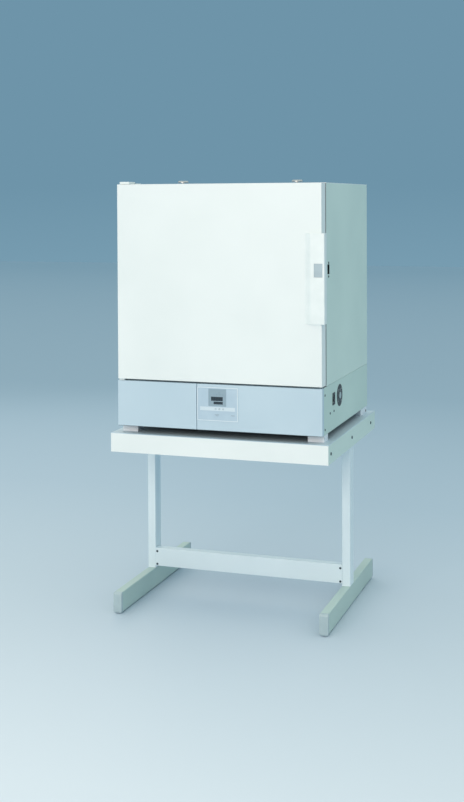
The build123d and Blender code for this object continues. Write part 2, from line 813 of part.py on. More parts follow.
top_hinge_x = (-half_width + top_hinge_left_inset,
               -half_width + top_hinge_left_inset + top_hinge_width)
bottom_hinge_x = (-half_width + bottom_hinge_left_inset,
                  -half_width + bottom_hinge_left_inset + bottom_hinge_width)
top_hinge_middle_x = sum(top_hinge_x) / 2
hinge_front_y = front_y + hinge_plate_front
top_hinge_rear_y = hinge_front_y + top_hinge_length
bottom_hinge_rear_y = hinge_front_y + bottom_hinge_length
top_hinge_screw_ys = [top_hinge_rear_y - hinge_screw_inset - step * hinge_screw_pitch
                      for step in (0, 1)]

with BuildPart() as top_panel:
    cuboid((-half_width, half_width), (frame_back_y, rear_y), (side_top_z, top_z))
    for side in (-1, 1):
        rod("Z", (side * exhaust_x, exhaust_plane_y, top_z), pipe_radius + seat_gap, 4 * sheet,
            Mode.SUBTRACT)
    for screw_y in top_hinge_screw_ys:
        rod("Z", (top_hinge_middle_x, screw_y, top_z), small_screw_radius + screw_hole_gap,
            4 * sheet, Mode.SUBTRACT)
save(top_panel, "top_panel")

save_box("rear_panel", (-side_inner_x, side_inner_x), (rear_inner_y, rear_y),
         (cabinet_bottom_z, side_top_z))

latch_slot_x = (latch_x - catch_slot_width / 2, latch_x + catch_slot_width / 2)
with BuildPart() as front_frame:
    cuboid((-half_width, half_width), (frame_y, frame_back_y), (cabinet_bottom_z, top_z))
    cuboid((-half_chamber, half_chamber), (frame_y - sheet, frame_back_y + sheet),
           (chamber_floor_z, ceiling_z), Mode.SUBTRACT)
    cuboid(latch_slot_x, (frame_y - sheet, frame_back_y + sheet),
           (catch_slot_bottom, catch_slot_top), Mode.SUBTRACT)
    cuboid((bottom_hinge_x[0] - seat_gap, bottom_hinge_x[1] + seat_gap),
           (frame_y - sheet, frame_back_y + sheet),
           (seam_z, seam_z + bottom_hinge_thickness + seat_gap), Mode.SUBTRACT)
save(front_frame, "front_frame")

# Stainless chamber: walls, ceiling, rear wall, heater bay and perforated floor

chamber_y = (frame_back_y, chamber_rear_y)
with BuildPart() as chamber_side_walls:
    for side in (-1, 1):
        cuboid(mirrored(side, half_chamber, half_chamber + liner_sheet), chamber_y,
               (chamber_base_z, ceiling_z))
save(chamber_side_walls, "chamber_side_walls")

with BuildPart() as chamber_ceiling:
    cuboid((-half_chamber - liner_sheet, half_chamber + liner_sheet),
           (frame_back_y, chamber_rear_y + liner_sheet), (ceiling_z, ceiling_z + liner_sheet))
    for side in (-1, 1):
        rod("Z", (side * exhaust_x, exhaust_plane_y, ceiling_z), pipe_radius - pipe_wall,
            4 * liner_sheet, Mode.SUBTRACT)
save(chamber_ceiling, "chamber_ceiling")

heater_z = chamber_base_z + heater_height
heater_leg_xs = [side * heater_spacing / 2 + offset * heater_bend
                 for side in (-1, 1) for offset in (-1, 1)]
probe_plane_z = chamber_floor_z + probe_z
with BuildPart() as chamber_rear_wall:
    cuboid((-half_chamber, half_chamber), (chamber_rear_y, chamber_rear_y + liner_sheet),
           (chamber_base_z, ceiling_z))
    for leg_centre_x in heater_leg_xs:
        rod("Y", (leg_centre_x, chamber_rear_y, heater_z), heater_radius + seat_gap,
            4 * liner_sheet, Mode.SUBTRACT)
    rod("Y", (probe_x, chamber_rear_y, probe_plane_z), probe_radius + seat_gap,
        4 * liner_sheet, Mode.SUBTRACT)
save(chamber_rear_wall, "chamber_rear_wall")

save_box("chamber_bottom", (-half_chamber - liner_sheet, half_chamber + liner_sheet),
         (frame_back_y, chamber_rear_y + liner_sheet),
         (chamber_base_z - liner_sheet, chamber_base_z))

floor_half_x = half_chamber - seat_gap
floor_y = (frame_back_y + seat_gap, chamber_rear_y - seat_gap)
floor_centre_y = sum(floor_y) / 2
with BuildPart() as chamber_floor:
    cuboid((-floor_half_x, floor_half_x), floor_y, (chamber_base_z, chamber_floor_z))
    cuboid((-floor_half_x + sheet, floor_half_x - sheet), (floor_y[0] - sheet, floor_y[1] + sheet),
           (chamber_base_z - sheet, chamber_floor_z - sheet), Mode.SUBTRACT)
    slot_pitch_x = 2 * floor_half_x / (floor_slot_columns + 1)
    slot_pitch_y = (floor_y[1] - floor_y[0]) / floor_slot_rows
    with BuildSketch(Plane.XY.offset(chamber_floor_z + sheet)):
        with Locations((0, floor_centre_y)):
            with GridLocations(slot_pitch_x, slot_pitch_y, floor_slot_columns, floor_slot_rows):
                SlotOverall(floor_slot_length, floor_slot_width, rotation=90)
    extrude(amount=-3 * sheet, mode=Mode.SUBTRACT)
save(chamber_floor, "chamber_floor")

# Heaters: two sheathed loops over the chamber's bottom, with flanges on its rear wall

heater_end_y = chamber_rear_y + heater_tail
heater_bend_y = frame_back_y + heater_front_margin + heater_bend
with BuildPart() as heaters:
    for side in (-1, 1):
        heater_x = side * heater_spacing / 2
        with BuildLine(Plane.XY.offset(heater_z)) as heater_path:
            Line((heater_x - heater_bend, heater_end_y), (heater_x - heater_bend, heater_bend_y))
            ThreePointArc((heater_x - heater_bend, heater_bend_y),
                          (heater_x, heater_bend_y - heater_bend),
                          (heater_x + heater_bend, heater_bend_y))
            Line((heater_x + heater_bend, heater_bend_y), (heater_x + heater_bend, heater_end_y))
        start_plane = Plane(origin=(heater_x - heater_bend, heater_end_y, heater_z),
                            x_dir=(1, 0, 0), z_dir=(0, -1, 0))
        with BuildSketch(start_plane):
            Circle(heater_radius)
        sweep()
    for leg_centre_x in heater_leg_xs:
        rod_between("Y", chamber_rear_y - heater_flange_thickness, chamber_rear_y,
                    (leg_centre_x, heater_z), heater_flange_radius)
save(heaters, "heaters")

with BuildPart() as temperature_probe:
    rod_between("Y", chamber_rear_y - probe_length, chamber_rear_y + heater_tail,
                (probe_x, probe_plane_z), probe_radius)
    rod_between("Y", chamber_rear_y - probe_flange_thickness, chamber_rear_y,
                (probe_x, probe_plane_z), probe_flange_radius)
save(temperature_probe, "temperature_probe")

# Insulation slabs between the chamber and the cabinet

slab_outer_x = side_inner_x - insulation_gap
slab_inner_x = half_chamber + liner_sheet + insulation_gap
slab_front_y = frame_back_y + insulation_gap
slab_rear_y = rear_inner_y - insulation_gap
slab_bottom_z = cabinet_bottom_z + insulation_gap
slab_top_z = side_top_z - insulation_gap
with BuildPart() as insulation:
    for side in (-1, 1):
        cuboid(mirrored(side, slab_inner_x, slab_outer_x), (slab_front_y, slab_rear_y),
               (slab_bottom_z, slab_top_z))
    cuboid((catch_inner_x - insulation_gap, slab_outer_x + insulation_gap),
           (slab_front_y - insulation_gap, catch_block_y[1] + insulation_gap),
           (catch_bottom - insulation_gap, catch_bottom + catch_height + insulation_gap),
           Mode.SUBTRACT)
    cuboid((bottom_hinge_x[0], bottom_hinge_x[1] + insulation_gap),
           (slab_front_y - insulation_gap, bottom_hinge_rear_y + insulation_gap),
           (slab_bottom_z - insulation_gap, seam_z + bottom_hinge_thickness + insulation_gap),
           Mode.SUBTRACT)
    for screw_y in top_hinge_screw_ys:
        rod("Z", (top_hinge_middle_x, screw_y, slab_top_z), small_head_radius, 2 * screw_length,
            Mode.SUBTRACT)
    slab_half_x = slab_inner_x - insulation_gap
    cuboid((-slab_half_x, slab_half_x), (slab_front_y, chamber_rear_y),
           (ceiling_z + liner_sheet + seat_gap, slab_top_z))
    for side in (-1, 1):
        rod("Z", (side * exhaust_x, exhaust_plane_y, slab_top_z), pipe_radius + insulation_gap,
            4 * ceiling_space, Mode.SUBTRACT)
    cuboid((-slab_half_x, slab_half_x), (slab_front_y, chamber_rear_y),
           (slab_bottom_z, chamber_base_z - liner_sheet - seat_gap))
    cuboid((-slab_half_x, slab_half_x), (slab_rear_y - rear_insulation, slab_rear_y),
           (slab_bottom_z, slab_top_z))
save(insulation, "insulation")

# Shelves on angle runners

runner_y = (frame_back_y + shelf_front_margin, chamber_rear_y - shelf_rear_margin)
with BuildPart() as shelf_runners:
    for level in shelf_levels:
        runner_top_z = chamber_floor_z + level
        for side in (-1, 1):
            cuboid(mirrored(side, half_chamber - runner_width, half_chamber), runner_y,
                   (runner_top_z - runner_sheet, runner_top_z))
            cuboid(mirrored(side, half_chamber - runner_sheet, half_chamber), runner_y,
                   (runner_top_z, runner_top_z + runner_height))
save(shelf_runners, "shelf_runners")

frame_half_x = half_chamber - shelf_side_gap - shelf_frame_radius
frame_front_y = runner_y[0] + shelf_frame_radius
frame_rear_y = runner_y[1] - shelf_frame_radius
frame_middle_y = (frame_front_y + frame_rear_y) / 2
rod_pitch = 2 * frame_half_x / (shelf_rods + 1)
for name, level in zip(("lower_shelf", "upper_shelf"), shelf_levels):
    rail_z = chamber_floor_z + level + shelf_frame_radius + seat_gap
    rod_z = rail_z + shelf_rod_radius
    with BuildSketch(Plane.XY.offset(rail_z)) as frame_outline:
        with Locations((0, frame_middle_y)):
            RectangleRounded(2 * frame_half_x, frame_rear_y - frame_front_y, shelf_corner_radius)
    frame_path = frame_outline.sketch.face().outer_wire()
    with BuildPart() as wire_shelf:
        with BuildSketch(Plane(origin=frame_path @ 0, z_dir=frame_path % 0)):
            Circle(shelf_frame_radius)
        sweep(path=frame_path)
        rod_places = [Location(((index - (shelf_rods + 1) / 2) * rod_pitch, frame_middle_y, rod_z),
                               (90, 0, 0)) for index in range(1, shelf_rods + 1)]
        with Locations(*rod_places):
            Cylinder(shelf_rod_radius, frame_rear_y - frame_front_y)
    save(wire_shelf, name)

# Exhaust pipes from the ceiling through the top, each with a turning damper cap

pipe_top_z = top_z + pipe_above_top
pipe_bore = pipe_radius - pipe_wall
fixed_damper_z = pipe_top_z - damper_depth
with BuildPart() as exhaust_pipes:
    for side in (-1, 1):
        pipe_centre = (side * exhaust_x, exhaust_plane_y)
        rod_between("Z", ceiling_z + liner_sheet, pipe_top_z, pipe_centre, pipe_radius)
        rod_between("Z", ceiling_z, pipe_top_z + pipe_above_top, pipe_centre, pipe_bore,
                    Mode.SUBTRACT)
        rod_between("Z", top_z, top_z + collar_height, pipe_centre, collar_radius)
        rod_between("Z", top_z - pipe_wall, top_z + 2 * collar_height, pipe_centre, pipe_bore,
                    Mode.SUBTRACT)
        with BuildSketch(Plane.XY.offset(fixed_damper_z)):
            with Locations(pipe_centre):
                Circle(pipe_bore)
            with Locations((pipe_centre[0], pipe_centre[1] + pipe_radius + 2 * cap_stem_radius)):
                Rectangle(2 * pipe_radius, 2 * pipe_radius, mode=Mode.SUBTRACT)
            with Locations(pipe_centre):
                Circle(cap_stem_radius + running_gap, mode=Mode.SUBTRACT)
        extrude(amount=damper_thickness)
save(exhaust_pipes, "exhaust_pipes")

cap_bottom_z = pipe_top_z + cap_gap
moving_damper_z = fixed_damper_z + damper_thickness + seat_gap
for name, side in (("left_exhaust_cap", -1), ("right_exhaust_cap", 1)):
    pipe_centre = (side * exhaust_x, exhaust_plane_y)
    with BuildPart() as exhaust_cap:
        rod_between("Z", cap_bottom_z, cap_bottom_z + cap_thickness, pipe_centre, cap_radius)
        fillet(exhaust_cap.faces().sort_by(Axis.Z)[-1].edges(), cap_edge_radius)
        rod_between("Z", fixed_damper_z - damper_thickness, cap_bottom_z, pipe_centre,
                    cap_stem_radius)
        with BuildSketch(Plane.XY.offset(moving_damper_z)):
            with Locations(pipe_centre):
                Circle(pipe_bore - damper_edge_gap)
            with Locations((pipe_centre[0], pipe_centre[1] - pipe_radius - cap_stem_radius)):
                Rectangle(2 * pipe_radius, 2 * pipe_radius, mode=Mode.SUBTRACT)
        extrude(amount=damper_thickness)
    save(exhaust_cap, name)

# Door: folded skin, insulation core, inner panel with its plug, and gasket

latch_pivot_y = front_y + latch_pivot_depth
push_z = latch_pivot_z + latch_push_height
door_x = (-half_door, half_door)
door_hinge_ends = ((door_bottom_z, 1), (door_top_z, -1))

with BuildPart() as door_skin:
    cuboid(door_x, (front_y, door_rear_y), (door_bottom_z, door_top_z))
    fillet(door_skin.faces().sort_by(Axis.Y)[0].edges(), door_edge_radius)
    cuboid((-half_door + sheet, half_door - sheet), (front_y + sheet, door_rear_y + sheet),
           (door_bottom_z + sheet, door_top_z - sheet), Mode.SUBTRACT)
    for end_z, inward in door_hinge_ends:
        rod("Z", (hinge_x, hinge_y, end_z), hinge_bush_radius + seat_gap, 4 * sheet,
            Mode.SUBTRACT)
    rod("Y", (latch_x, front_y, push_z), push_post_radius + seat_gap, 4 * sheet, Mode.SUBTRACT)
save(door_skin, "door_skin")

core_clear = sheet + seat_gap
pocket_half_x = latch_bracket_width / 2 + insulation_gap
panel_front_y = door_rear_y - sheet
with BuildPart() as door_core:
    cuboid((-half_door + core_clear, half_door - core_clear),
           (front_y + core_clear, panel_front_y - seat_gap),
           (door_bottom_z + core_clear, door_top_z - core_clear))
    for end_z, inward in door_hinge_ends:
        rod_between("Z", end_z, end_z + inward * (hinge_bush_length + hinge_pin_radius),
                    (hinge_x, hinge_y), hinge_bush_radius + seat_gap, Mode.SUBTRACT)
    cuboid((latch_x - pocket_half_x, latch_x + pocket_half_x), (front_y, door_rear_y),
           (latch_bracket_bottom - insulation_gap, latch_bracket_top + insulation_gap),
           Mode.SUBTRACT)
save(door_core, "door_core")

plug_half_x = half_chamber - plug_margin
plug_z = (chamber_floor_z + plug_margin, ceiling_z - plug_margin)
plug_rear_y = door_rear_y + plug_depth
with BuildPart() as door_inner_panel:
    cuboid((-half_door + core_clear, half_door - core_clear), (panel_front_y, door_rear_y),
           (door_bottom_z + core_clear, door_top_z - core_clear))
    with BuildSketch(front_plane(door_rear_y)):
        with Locations((0, sum(plug_z) / 2)):
            RectangleRounded(2 * plug_half_x, plug_z[1] - plug_z[0], plug_corner_radius)
    extrude(amount=-plug_depth)
    fillet(door_inner_panel.faces().sort_by(Axis.Y)[-1].edges(), 2 * sheet)
    with BuildSketch(front_plane(panel_front_y)):
        with Locations((0, sum(plug_z) / 2)):
            RectangleRounded(2 * (plug_half_x - sheet), plug_z[1] - plug_z[0] - 2 * sheet,
                             plug_corner_radius - sheet)
    extrude(amount=-plug_depth, mode=Mode.SUBTRACT)
    cuboid((latch_slot_x[0], latch_slot_x[1]), (panel_front_y - sheet, door_rear_y + sheet),
           (catch_slot_bottom, catch_slot_top + latch_nose_height), Mode.SUBTRACT)
save(door_inner_panel, "door_inner_panel")

gasket_inner_x = half_chamber + gasket_offset
gasket_inner_z = chamber_height / 2 + gasket_offset
with BuildPart() as door_gasket:
    with BuildSketch(front_plane(door_rear_y)):
        with Locations((0, sum(plug_z) / 2)):
            RectangleRounded(2 * (gasket_inner_x + gasket_width),
                             2 * (gasket_inner_z + gasket_width), gasket_corner_radius)
            RectangleRounded(2 * gasket_inner_x, 2 * gasket_inner_z,
                             gasket_corner_radius - gasket_width, mode=Mode.SUBTRACT)
    extrude(amount=-(gasket_space - seat_gap))
    fillet(door_gasket.faces().sort_by(Axis.Y)[-1].edges(), gasket_space / 2)
save(door_gasket, "door_gasket")

# Door hinges: brackets with pins, and bushes in the door

with BuildPart() as door_hinge_bushes:
    for end_z, inward in door_hinge_ends:
        bush_start_z = end_z - inward * (hinge_gap - seat_gap)
        rod_between("Z", bush_start_z, end_z + inward * hinge_bush_length, (hinge_x, hinge_y),
                    hinge_bush_radius)
        rod_between("Z", bush_start_z - inward * sheet, end_z + inward * (hinge_bush_length + sheet),
                    (hinge_x, hinge_y), hinge_pin_radius + running_gap, Mode.SUBTRACT)
save(door_hinge_bushes, "door_hinge_bushes")

bottom_hinge_top_z = seam_z + bottom_hinge_thickness
top_hinge_seat_z = top_z + top_hinge_foot_thickness
with BuildPart() as door_hinges:
    cuboid(top_hinge_x, (hinge_front_y, top_hinge_rear_y), (top_z, top_hinge_seat_z))
    cuboid(top_hinge_x, (hinge_front_y, hinge_front_y + top_hinge_arm_length),
           (top_z, top_z + top_hinge_arm_thickness))
    rod_between("Z", top_z - hinge_pin_length, top_z, (hinge_x, hinge_y), hinge_pin_radius)
    for screw_y in top_hinge_screw_ys:
        rod("Z", (top_hinge_middle_x, screw_y, top_z), small_screw_radius + screw_hole_gap,
            4 * top_hinge_foot_thickness, Mode.SUBTRACT)
    cuboid(bottom_hinge_x, (hinge_front_y, bottom_hinge_rear_y), (seam_z, bottom_hinge_top_z))
    rod_between("Z", bottom_hinge_top_z, bottom_hinge_top_z + hinge_pin_length,
                (hinge_x, hinge_y), hinge_pin_radius)
save(door_hinges, "door_hinges")

# Handle: moulded along the door's right edge, with a lip to pull and a push key

push_key_z = (push_key_bottom, push_key_bottom + push_key_height)
handle_front_y = front_y - handle_proud
handle_left = half_door - handle_width_on_door
handle_right_x = half_door + seat_gap + handle_lip
key_right_x = handle_right_x - push_key_right_inset
key_x = (key_right_x - push_key_width, key_right_x)
key_pocket_y = handle_front_y + push_key_recess + push_key_thickness + push_key_travel + seat_gap
with BuildPart() as door_handle:
    with BuildSketch(Plane.XY.offset(handle_bottom_z)):
        with BuildLine():
            Spline((handle_left, front_y - handle_base_thickness),
                   (handle_left + handle_blend, handle_front_y), tangents=((1, 0), (1, 0)))
            Polyline((handle_left + handle_blend, handle_front_y),
                     (handle_right_x, handle_front_y),
                     (handle_right_x, handle_front_y + handle_lip_depth),
                     (half_door + seat_gap, handle_front_y + handle_lip_depth),
                     (half_door + seat_gap, front_y),
                     (handle_left, front_y),
                     (handle_left, front_y - handle_base_thickness))
        make_face()
    extrude(amount=handle_height)
    outer_edges = door_handle.edges().filter_by(Axis.Z).group_by(Axis.Y)[0]
    fillet(outer_edges.sort_by(Axis.X)[-1], handle_edge_radius)
    cuboid((key_x[0] - push_key_gap, key_x[1] + push_key_gap), (handle_front_y - sheet, key_pocket_y),
           (push_key_z[0] - push_key_gap, push_key_z[1] + push_key_gap), Mode.SUBTRACT)
    rod_between("Y", handle_front_y, front_y + sheet, (latch_x, push_z),
                push_post_radius + seat_gap, Mode.SUBTRACT)
save(door_handle, "door_handle")

key_face_y = handle_front_y + push_key_recess
with BuildPart() as push_key:
    cuboid(key_x, (key_face_y, key_face_y + push_key_thickness), push_key_z)
    for groove in range(push_key_grooves):
        groove_z = push_key_z[0] + (groove + 1) * push_key_groove_pitch
        cuboid((key_x[0] - push_key_gap, key_x[1] + push_key_gap),
               (key_face_y - push_key_groove_depth, key_face_y + push_key_groove_depth),
               (groove_z - push_key_groove_depth, groove_z + push_key_groove_depth), Mode.SUBTRACT)
    rod_between("Y", key_face_y + push_key_thickness,
                latch_pivot_y - latch_thickness - seat_gap, (latch_x, push_z), push_post_radius)
save(push_key, "push_key")

# Latch: a hook that turns in a bracket behind the door's skin, and its catch

hook_x = (latch_x - latch_thickness / 2, latch_x + latch_thickness / 2)
strike_rear_y = catch_front_y + catch_wall
nose_y = strike_rear_y + latch_play
arm_z = (latch_pivot_z - latch_arm_height / 2, latch_pivot_z + latch_arm_height / 2)
with BuildPart() as latch_hook:
    rod("X", (latch_x, latch_pivot_y, latch_pivot_z), latch_eye_radius, latch_thickness)
    cuboid(hook_x, (latch_pivot_y, nose_y + latch_nose_length), arm_z)
    cuboid(hook_x, (nose_y, nose_y + latch_nose_length), (arm_z[1], arm_z[1] + latch_nose_height))
    cuboid(hook_x, (latch_pivot_y - latch_thickness, latch_pivot_y),
           (latch_pivot_z, push_z + push_post_radius))
    rod("X", (latch_x, latch_pivot_y, latch_pivot_z), latch_pin_radius + running_gap,
        2 * latch_thickness, Mode.SUBTRACT)
save(latch_hook, "latch_hook")

bracket_y = (front_y + sheet, latch_pivot_y + latch_eye_radius)
with BuildPart() as latch_bracket:
    cheek_outer = latch_bracket_width / 2
    cheek_inner = cheek_outer - latch_bracket_sheet
    for side in (-1, 1):
        cuboid(sorted((latch_x + side * cheek_inner, latch_x + side * cheek_outer)), bracket_y,
               (latch_bracket_bottom, latch_bracket_top))
    for end_z in (latch_bracket_bottom, latch_bracket_top - latch_bracket_sheet):
        cuboid((latch_x - cheek_inner, latch_x + cheek_inner), bracket_y,
               (end_z, end_z + latch_bracket_sheet))
    rod("X", (latch_x, latch_pivot_y, latch_pivot_z), latch_pin_radius, 2 * cheek_inner)
save(latch_bracket, "latch_bracket")

with BuildPart() as latch_catch:
    cuboid((catch_inner_x, side_inner_x), catch_block_y,
           (catch_bottom, catch_bottom + catch_height))
    cuboid(latch_slot_x, (catch_block_y[0] - sheet, strike_rear_y + sheet),
           (catch_slot_bottom, catch_slot_top), Mode.SUBTRACT)
    cuboid(latch_slot_x, (strike_rear_y, catch_block_y[1] - latch_bracket_sheet),
           (catch_slot_bottom, catch_window_top), Mode.SUBTRACT)
    cuboid((latch_slot_x[1] - sheet, side_inner_x + sheet), side_window_y,
           (catch_window_bottom, catch_window_top), Mode.SUBTRACT)
    for screw_z in catch_screw_zs:
        rod_between("X", half_width - screw_length, side_inner_x + sheet,
                    (catch_mid_y, screw_z), small_screw_radius + screw_hole_gap, Mode.SUBTRACT)
save(latch_catch, "latch_catch")

# Small screws of the covers, the top hinge, the catch, the rear pads and the base side

with BuildPart() as oven_screws:
    for side in (-1, 1):
        for screw_z in cover_screw_zs:
            screw("X", side * half_width, side, (cover_screw_plane_y, screw_z),
                  small_screw_radius, small_head_radius, small_head_height, screw_length)
    for screw_y in top_hinge_screw_ys:
        screw("Z", top_hinge_seat_z, 1, (top_hinge_middle_x, screw_y),
              small_screw_radius, small_head_radius, small_head_height, screw_length)
    for screw_z in catch_screw_zs:
        screw("X", half_width, 1, (catch_mid_y, screw_z), small_screw_radius, small_head_radius,
              small_head_height, screw_length - seat_gap)
    for side in (-1, 1):
        screw("X", side * pad_outer_x, side, (pad_screw_y, pad_screw_z), small_screw_radius,
              small_head_radius, small_head_height, screw_length)
    for screw_y in base_screw_places:
        screw("X", half_width, 1, (screw_y, base_screw_plane_z), small_screw_radius,
              small_head_radius, small_head_height, screw_length)
save(oven_screws, "oven_screws")
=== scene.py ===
"""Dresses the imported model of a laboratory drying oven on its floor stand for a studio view.

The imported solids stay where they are. Each sub-assembly below gives them its finishes and adds the
fine pieces that the solids leave out, in millimetres, in the same frame.
"""

import logging
import math
from collections.abc import Sequence
from dataclasses import dataclass, field
from enum import Enum

import bmesh
import bpy
from mathutils import Euler, Matrix, Vector, noise


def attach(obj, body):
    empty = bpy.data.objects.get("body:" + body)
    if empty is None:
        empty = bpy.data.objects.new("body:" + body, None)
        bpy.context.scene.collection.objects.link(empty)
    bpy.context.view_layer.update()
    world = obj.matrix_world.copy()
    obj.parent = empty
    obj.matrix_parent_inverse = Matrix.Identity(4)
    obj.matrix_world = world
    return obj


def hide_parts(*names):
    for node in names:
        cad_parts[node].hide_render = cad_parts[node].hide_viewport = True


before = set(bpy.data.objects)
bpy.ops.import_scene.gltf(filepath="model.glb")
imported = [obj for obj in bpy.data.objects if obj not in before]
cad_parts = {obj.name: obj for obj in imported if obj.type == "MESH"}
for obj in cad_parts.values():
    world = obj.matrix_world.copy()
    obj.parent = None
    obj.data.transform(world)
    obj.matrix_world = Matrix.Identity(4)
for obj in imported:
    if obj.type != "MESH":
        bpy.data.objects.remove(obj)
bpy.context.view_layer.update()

MM = 0.001
LOG = logging.getLogger("oven")
# Noise runs mostly between these two values, so shades and roughness are spread over them
PATTERN_LOW, PATTERN_HIGH = 0.3, 0.7
# Edges that turn by less than this are shaded round
SMOOTH_DEGREES = 38

Point = tuple[float, float, float]
Flat = tuple[float, float]
Value = float | int | tuple | bpy.types.NodeSocket


class Side(Enum):
    """Faces of the oven: what runs right, up and outward for someone who looks at each."""

    FRONT = ((1, 0, 0), (0, 0, 1), (0, -1, 0))
    REAR = ((-1, 0, 0), (0, 0, 1), (0, 1, 0))
    RIGHT = ((0, 1, 0), (0, 0, 1), (1, 0, 0))
    LEFT = ((0, -1, 0), (0, 0, 1), (-1, 0, 0))
    TOP = ((1, 0, 0), (0, 1, 0), (0, 0, 1))

    def point(self, origin: Point, across: float, up: float, out: float) -> Point:
        """Point at a place on the face and a height over it."""
        right_way, up_way, out_way = (Vector(way) for way in self.value)
        return tuple(Vector(origin) + right_way * across + up_way * up + out_way * out)


class Grain(Enum):
    """Direction of a brushed finish, as the stretch of its scratches along X, Y and Z."""

    ALONG_X = (0.02, 1.0, 1.0)
    ALONG_Y = (1.0, 0.02, 1.0)
    ALONG_Z = (1.0, 1.0, 0.02)


def linear(hex_code: str) -> tuple[float, float, float, float]:
    """Turns an sRGB hex colour into the linear values that the shaders take.

    Args:
        hex_code: colour such as "#EEF6F6".

    Returns:
        Linear red, green and blue, and an alpha of one.
    """
    channels = [int(hex_code[start:start + 2], 16) / 255 for start in (1, 3, 5)]
    red, green, blue = (c / 12.92 if c <= 0.04045 else ((c + 0.055) / 1.055) ** 2.4 for c in channels)
    return red, green, blue, 1.0


def add_node(tree: bpy.types.NodeTree, kind: str, inputs: dict[str | int, Value] | None = None,
             **settings: object) -> bpy.types.Node:
    """Adds a shader node with its settings, values and links.

    Args:
        tree: node tree that gets the node.
        kind: Blender's class name of the node.
        inputs: value, or another node's output, for each named or numbered input.
        settings: attributes of the node itself.

    Returns:
        The new node.
    """
    node = tree.nodes.new(kind)
    for name, value in settings.items():
        setattr(node, name, value)
    for key, value in (inputs or {}).items():
        if isinstance(value, bpy.types.NodeSocket):
            tree.links.new(value, node.inputs[key])
        else:
            node.inputs[key].default_value = value
    return node


@dataclass(frozen=True)
class Finish:
    """What every finish has: its name and the plain values of its surface."""

    name: str
    colour: str
    roughness: float
    metallic: float = 0.0
    ior: float = 1.5

    def start(self) -> tuple[bpy.types.Material, bpy.types.Node, bpy.types.NodeSocket]:
        """Makes the material with its plain values.

        Returns:
            The material, its surface shader and the place on the object, in metres.
        """
        material = bpy.data.materials.new(self.name)
        material.use_nodes = True
        material.diffuse_color = linear(self.colour)
        shader = material.node_tree.nodes["Principled BSDF"]
        shader.inputs["Base Color"].default_value = linear(self.colour)
        shader.inputs["Roughness"].default_value = self.roughness
        shader.inputs["Metallic"].default_value = self.metallic
        if self.metallic == 0.0:
            shader.inputs["IOR"].default_value = self.ior
        place = add_node(material.node_tree, "ShaderNodeTexCoord").outputs["Object"]
        return material, shader, place

    def material(self) -> bpy.types.Material:
        """The material, made the first time that a piece asks for it."""
        found = bpy.data.materials.get(self.name)
        return found if found else self.build()

    def build(self) -> bpy.types.Material:
        """Makes the material of this finish."""
        return self.start()[0]

    def speckle(self, tree: bpy.types.NodeTree, place: bpy.types.NodeSocket, size_mm: float,
                detail: float = 2.0) -> bpy.types.NodeSocket:
        """Adds soft random spots of a real size.

        Args:
            tree: the material's node tree.
            place: where on the object, in metres.
            size_mm: distance between the middles of two spots.
            detail: how many finer layers lie over the spots.

        Returns:
            The spots' strength, around one half.
        """
        spots = add_node(tree, "ShaderNodeTexNoise",
                         {"Vector": place, "Scale": 1 / (size_mm * MM), "Detail": detail})
        return spots.outputs["Fac"]

    def vary_colour(self, tree: bpy.types.NodeTree, shader: bpy.types.Node,
                    strength: bpy.types.NodeSocket, darker: str, lighter: str) -> None:
        """Lets the colour run between two shades.

        Args:
            tree: the material's node tree.
            shader: the surface shader.
            strength: pattern from about 0.3 to 0.7.
            darker: shade where the pattern is weak.
            lighter: shade where the pattern is strong.
        """
        ramp = add_node(tree, "ShaderNodeValToRGB", {"Fac": strength})
        low, high = ramp.color_ramp.elements
        low.position, low.color = PATTERN_LOW, linear(darker)
        high.position, high.color = PATTERN_HIGH, linear(lighter)
        tree.links.new(ramp.outputs["Color"], shader.inputs["Base Color"])

    def vary_roughness(self, tree: bpy.types.NodeTree, shader: bpy.types.Node,
                       strength: bpy.types.NodeSocket, spread: float) -> None:
        """Lets the roughness run to both sides of its plain value by the spread."""
        span = add_node(tree, "ShaderNodeMapRange",
                        {"Value": strength, "From Min": PATTERN_LOW, "From Max": PATTERN_HIGH,
                         "To Min": self.roughness - spread, "To Max": self.roughness + spread})
        tree.links.new(span.outputs["Result"], shader.inputs["Roughness"])

    def raise_surface(self, tree: bpy.types.NodeTree, shader: bpy.types.Node,
                      height: bpy.types.NodeSocket, depth_mm: float, strength: float) -> None:
        """Adds relief of a real depth to the surface's shading."""
        bump = add_node(tree, "ShaderNodeBump",
                        {"Height": height, "Distance": depth_mm * MM, "Strength": strength})
        tree.links.new(bump.outputs["Normal"], shader.inputs["Normal"])


@dataclass(frozen=True)
class PowderCoat(Finish):
    """Epoxy powder coat, baked on sheet steel: satin, with a faint orange peel."""

    darker: str = "#E4ECEC"
    peel_mm: float = 2.2
    peel_depth_mm: float = 0.05
    mottle_mm: float = 260.0

    def build(self) -> bpy.types.Material:
        """Makes the coat with its orange peel and a slow drift of its shade."""
        material, shader, place = self.start()
        tree = material.node_tree
        mottle = self.speckle(tree, place, self.mottle_mm)
        self.vary_colour(tree, shader, mottle, self.darker, self.colour)
        self.vary_roughness(tree, shader, mottle, 0.05)
        # Real orange peel is 1 to 3 mm across; the bump gives the soft broken highlight
        peel = self.speckle(tree, place, self.peel_mm, 1.0)
        self.raise_surface(tree, shader, peel, self.peel_depth_mm, 0.35)
        return material


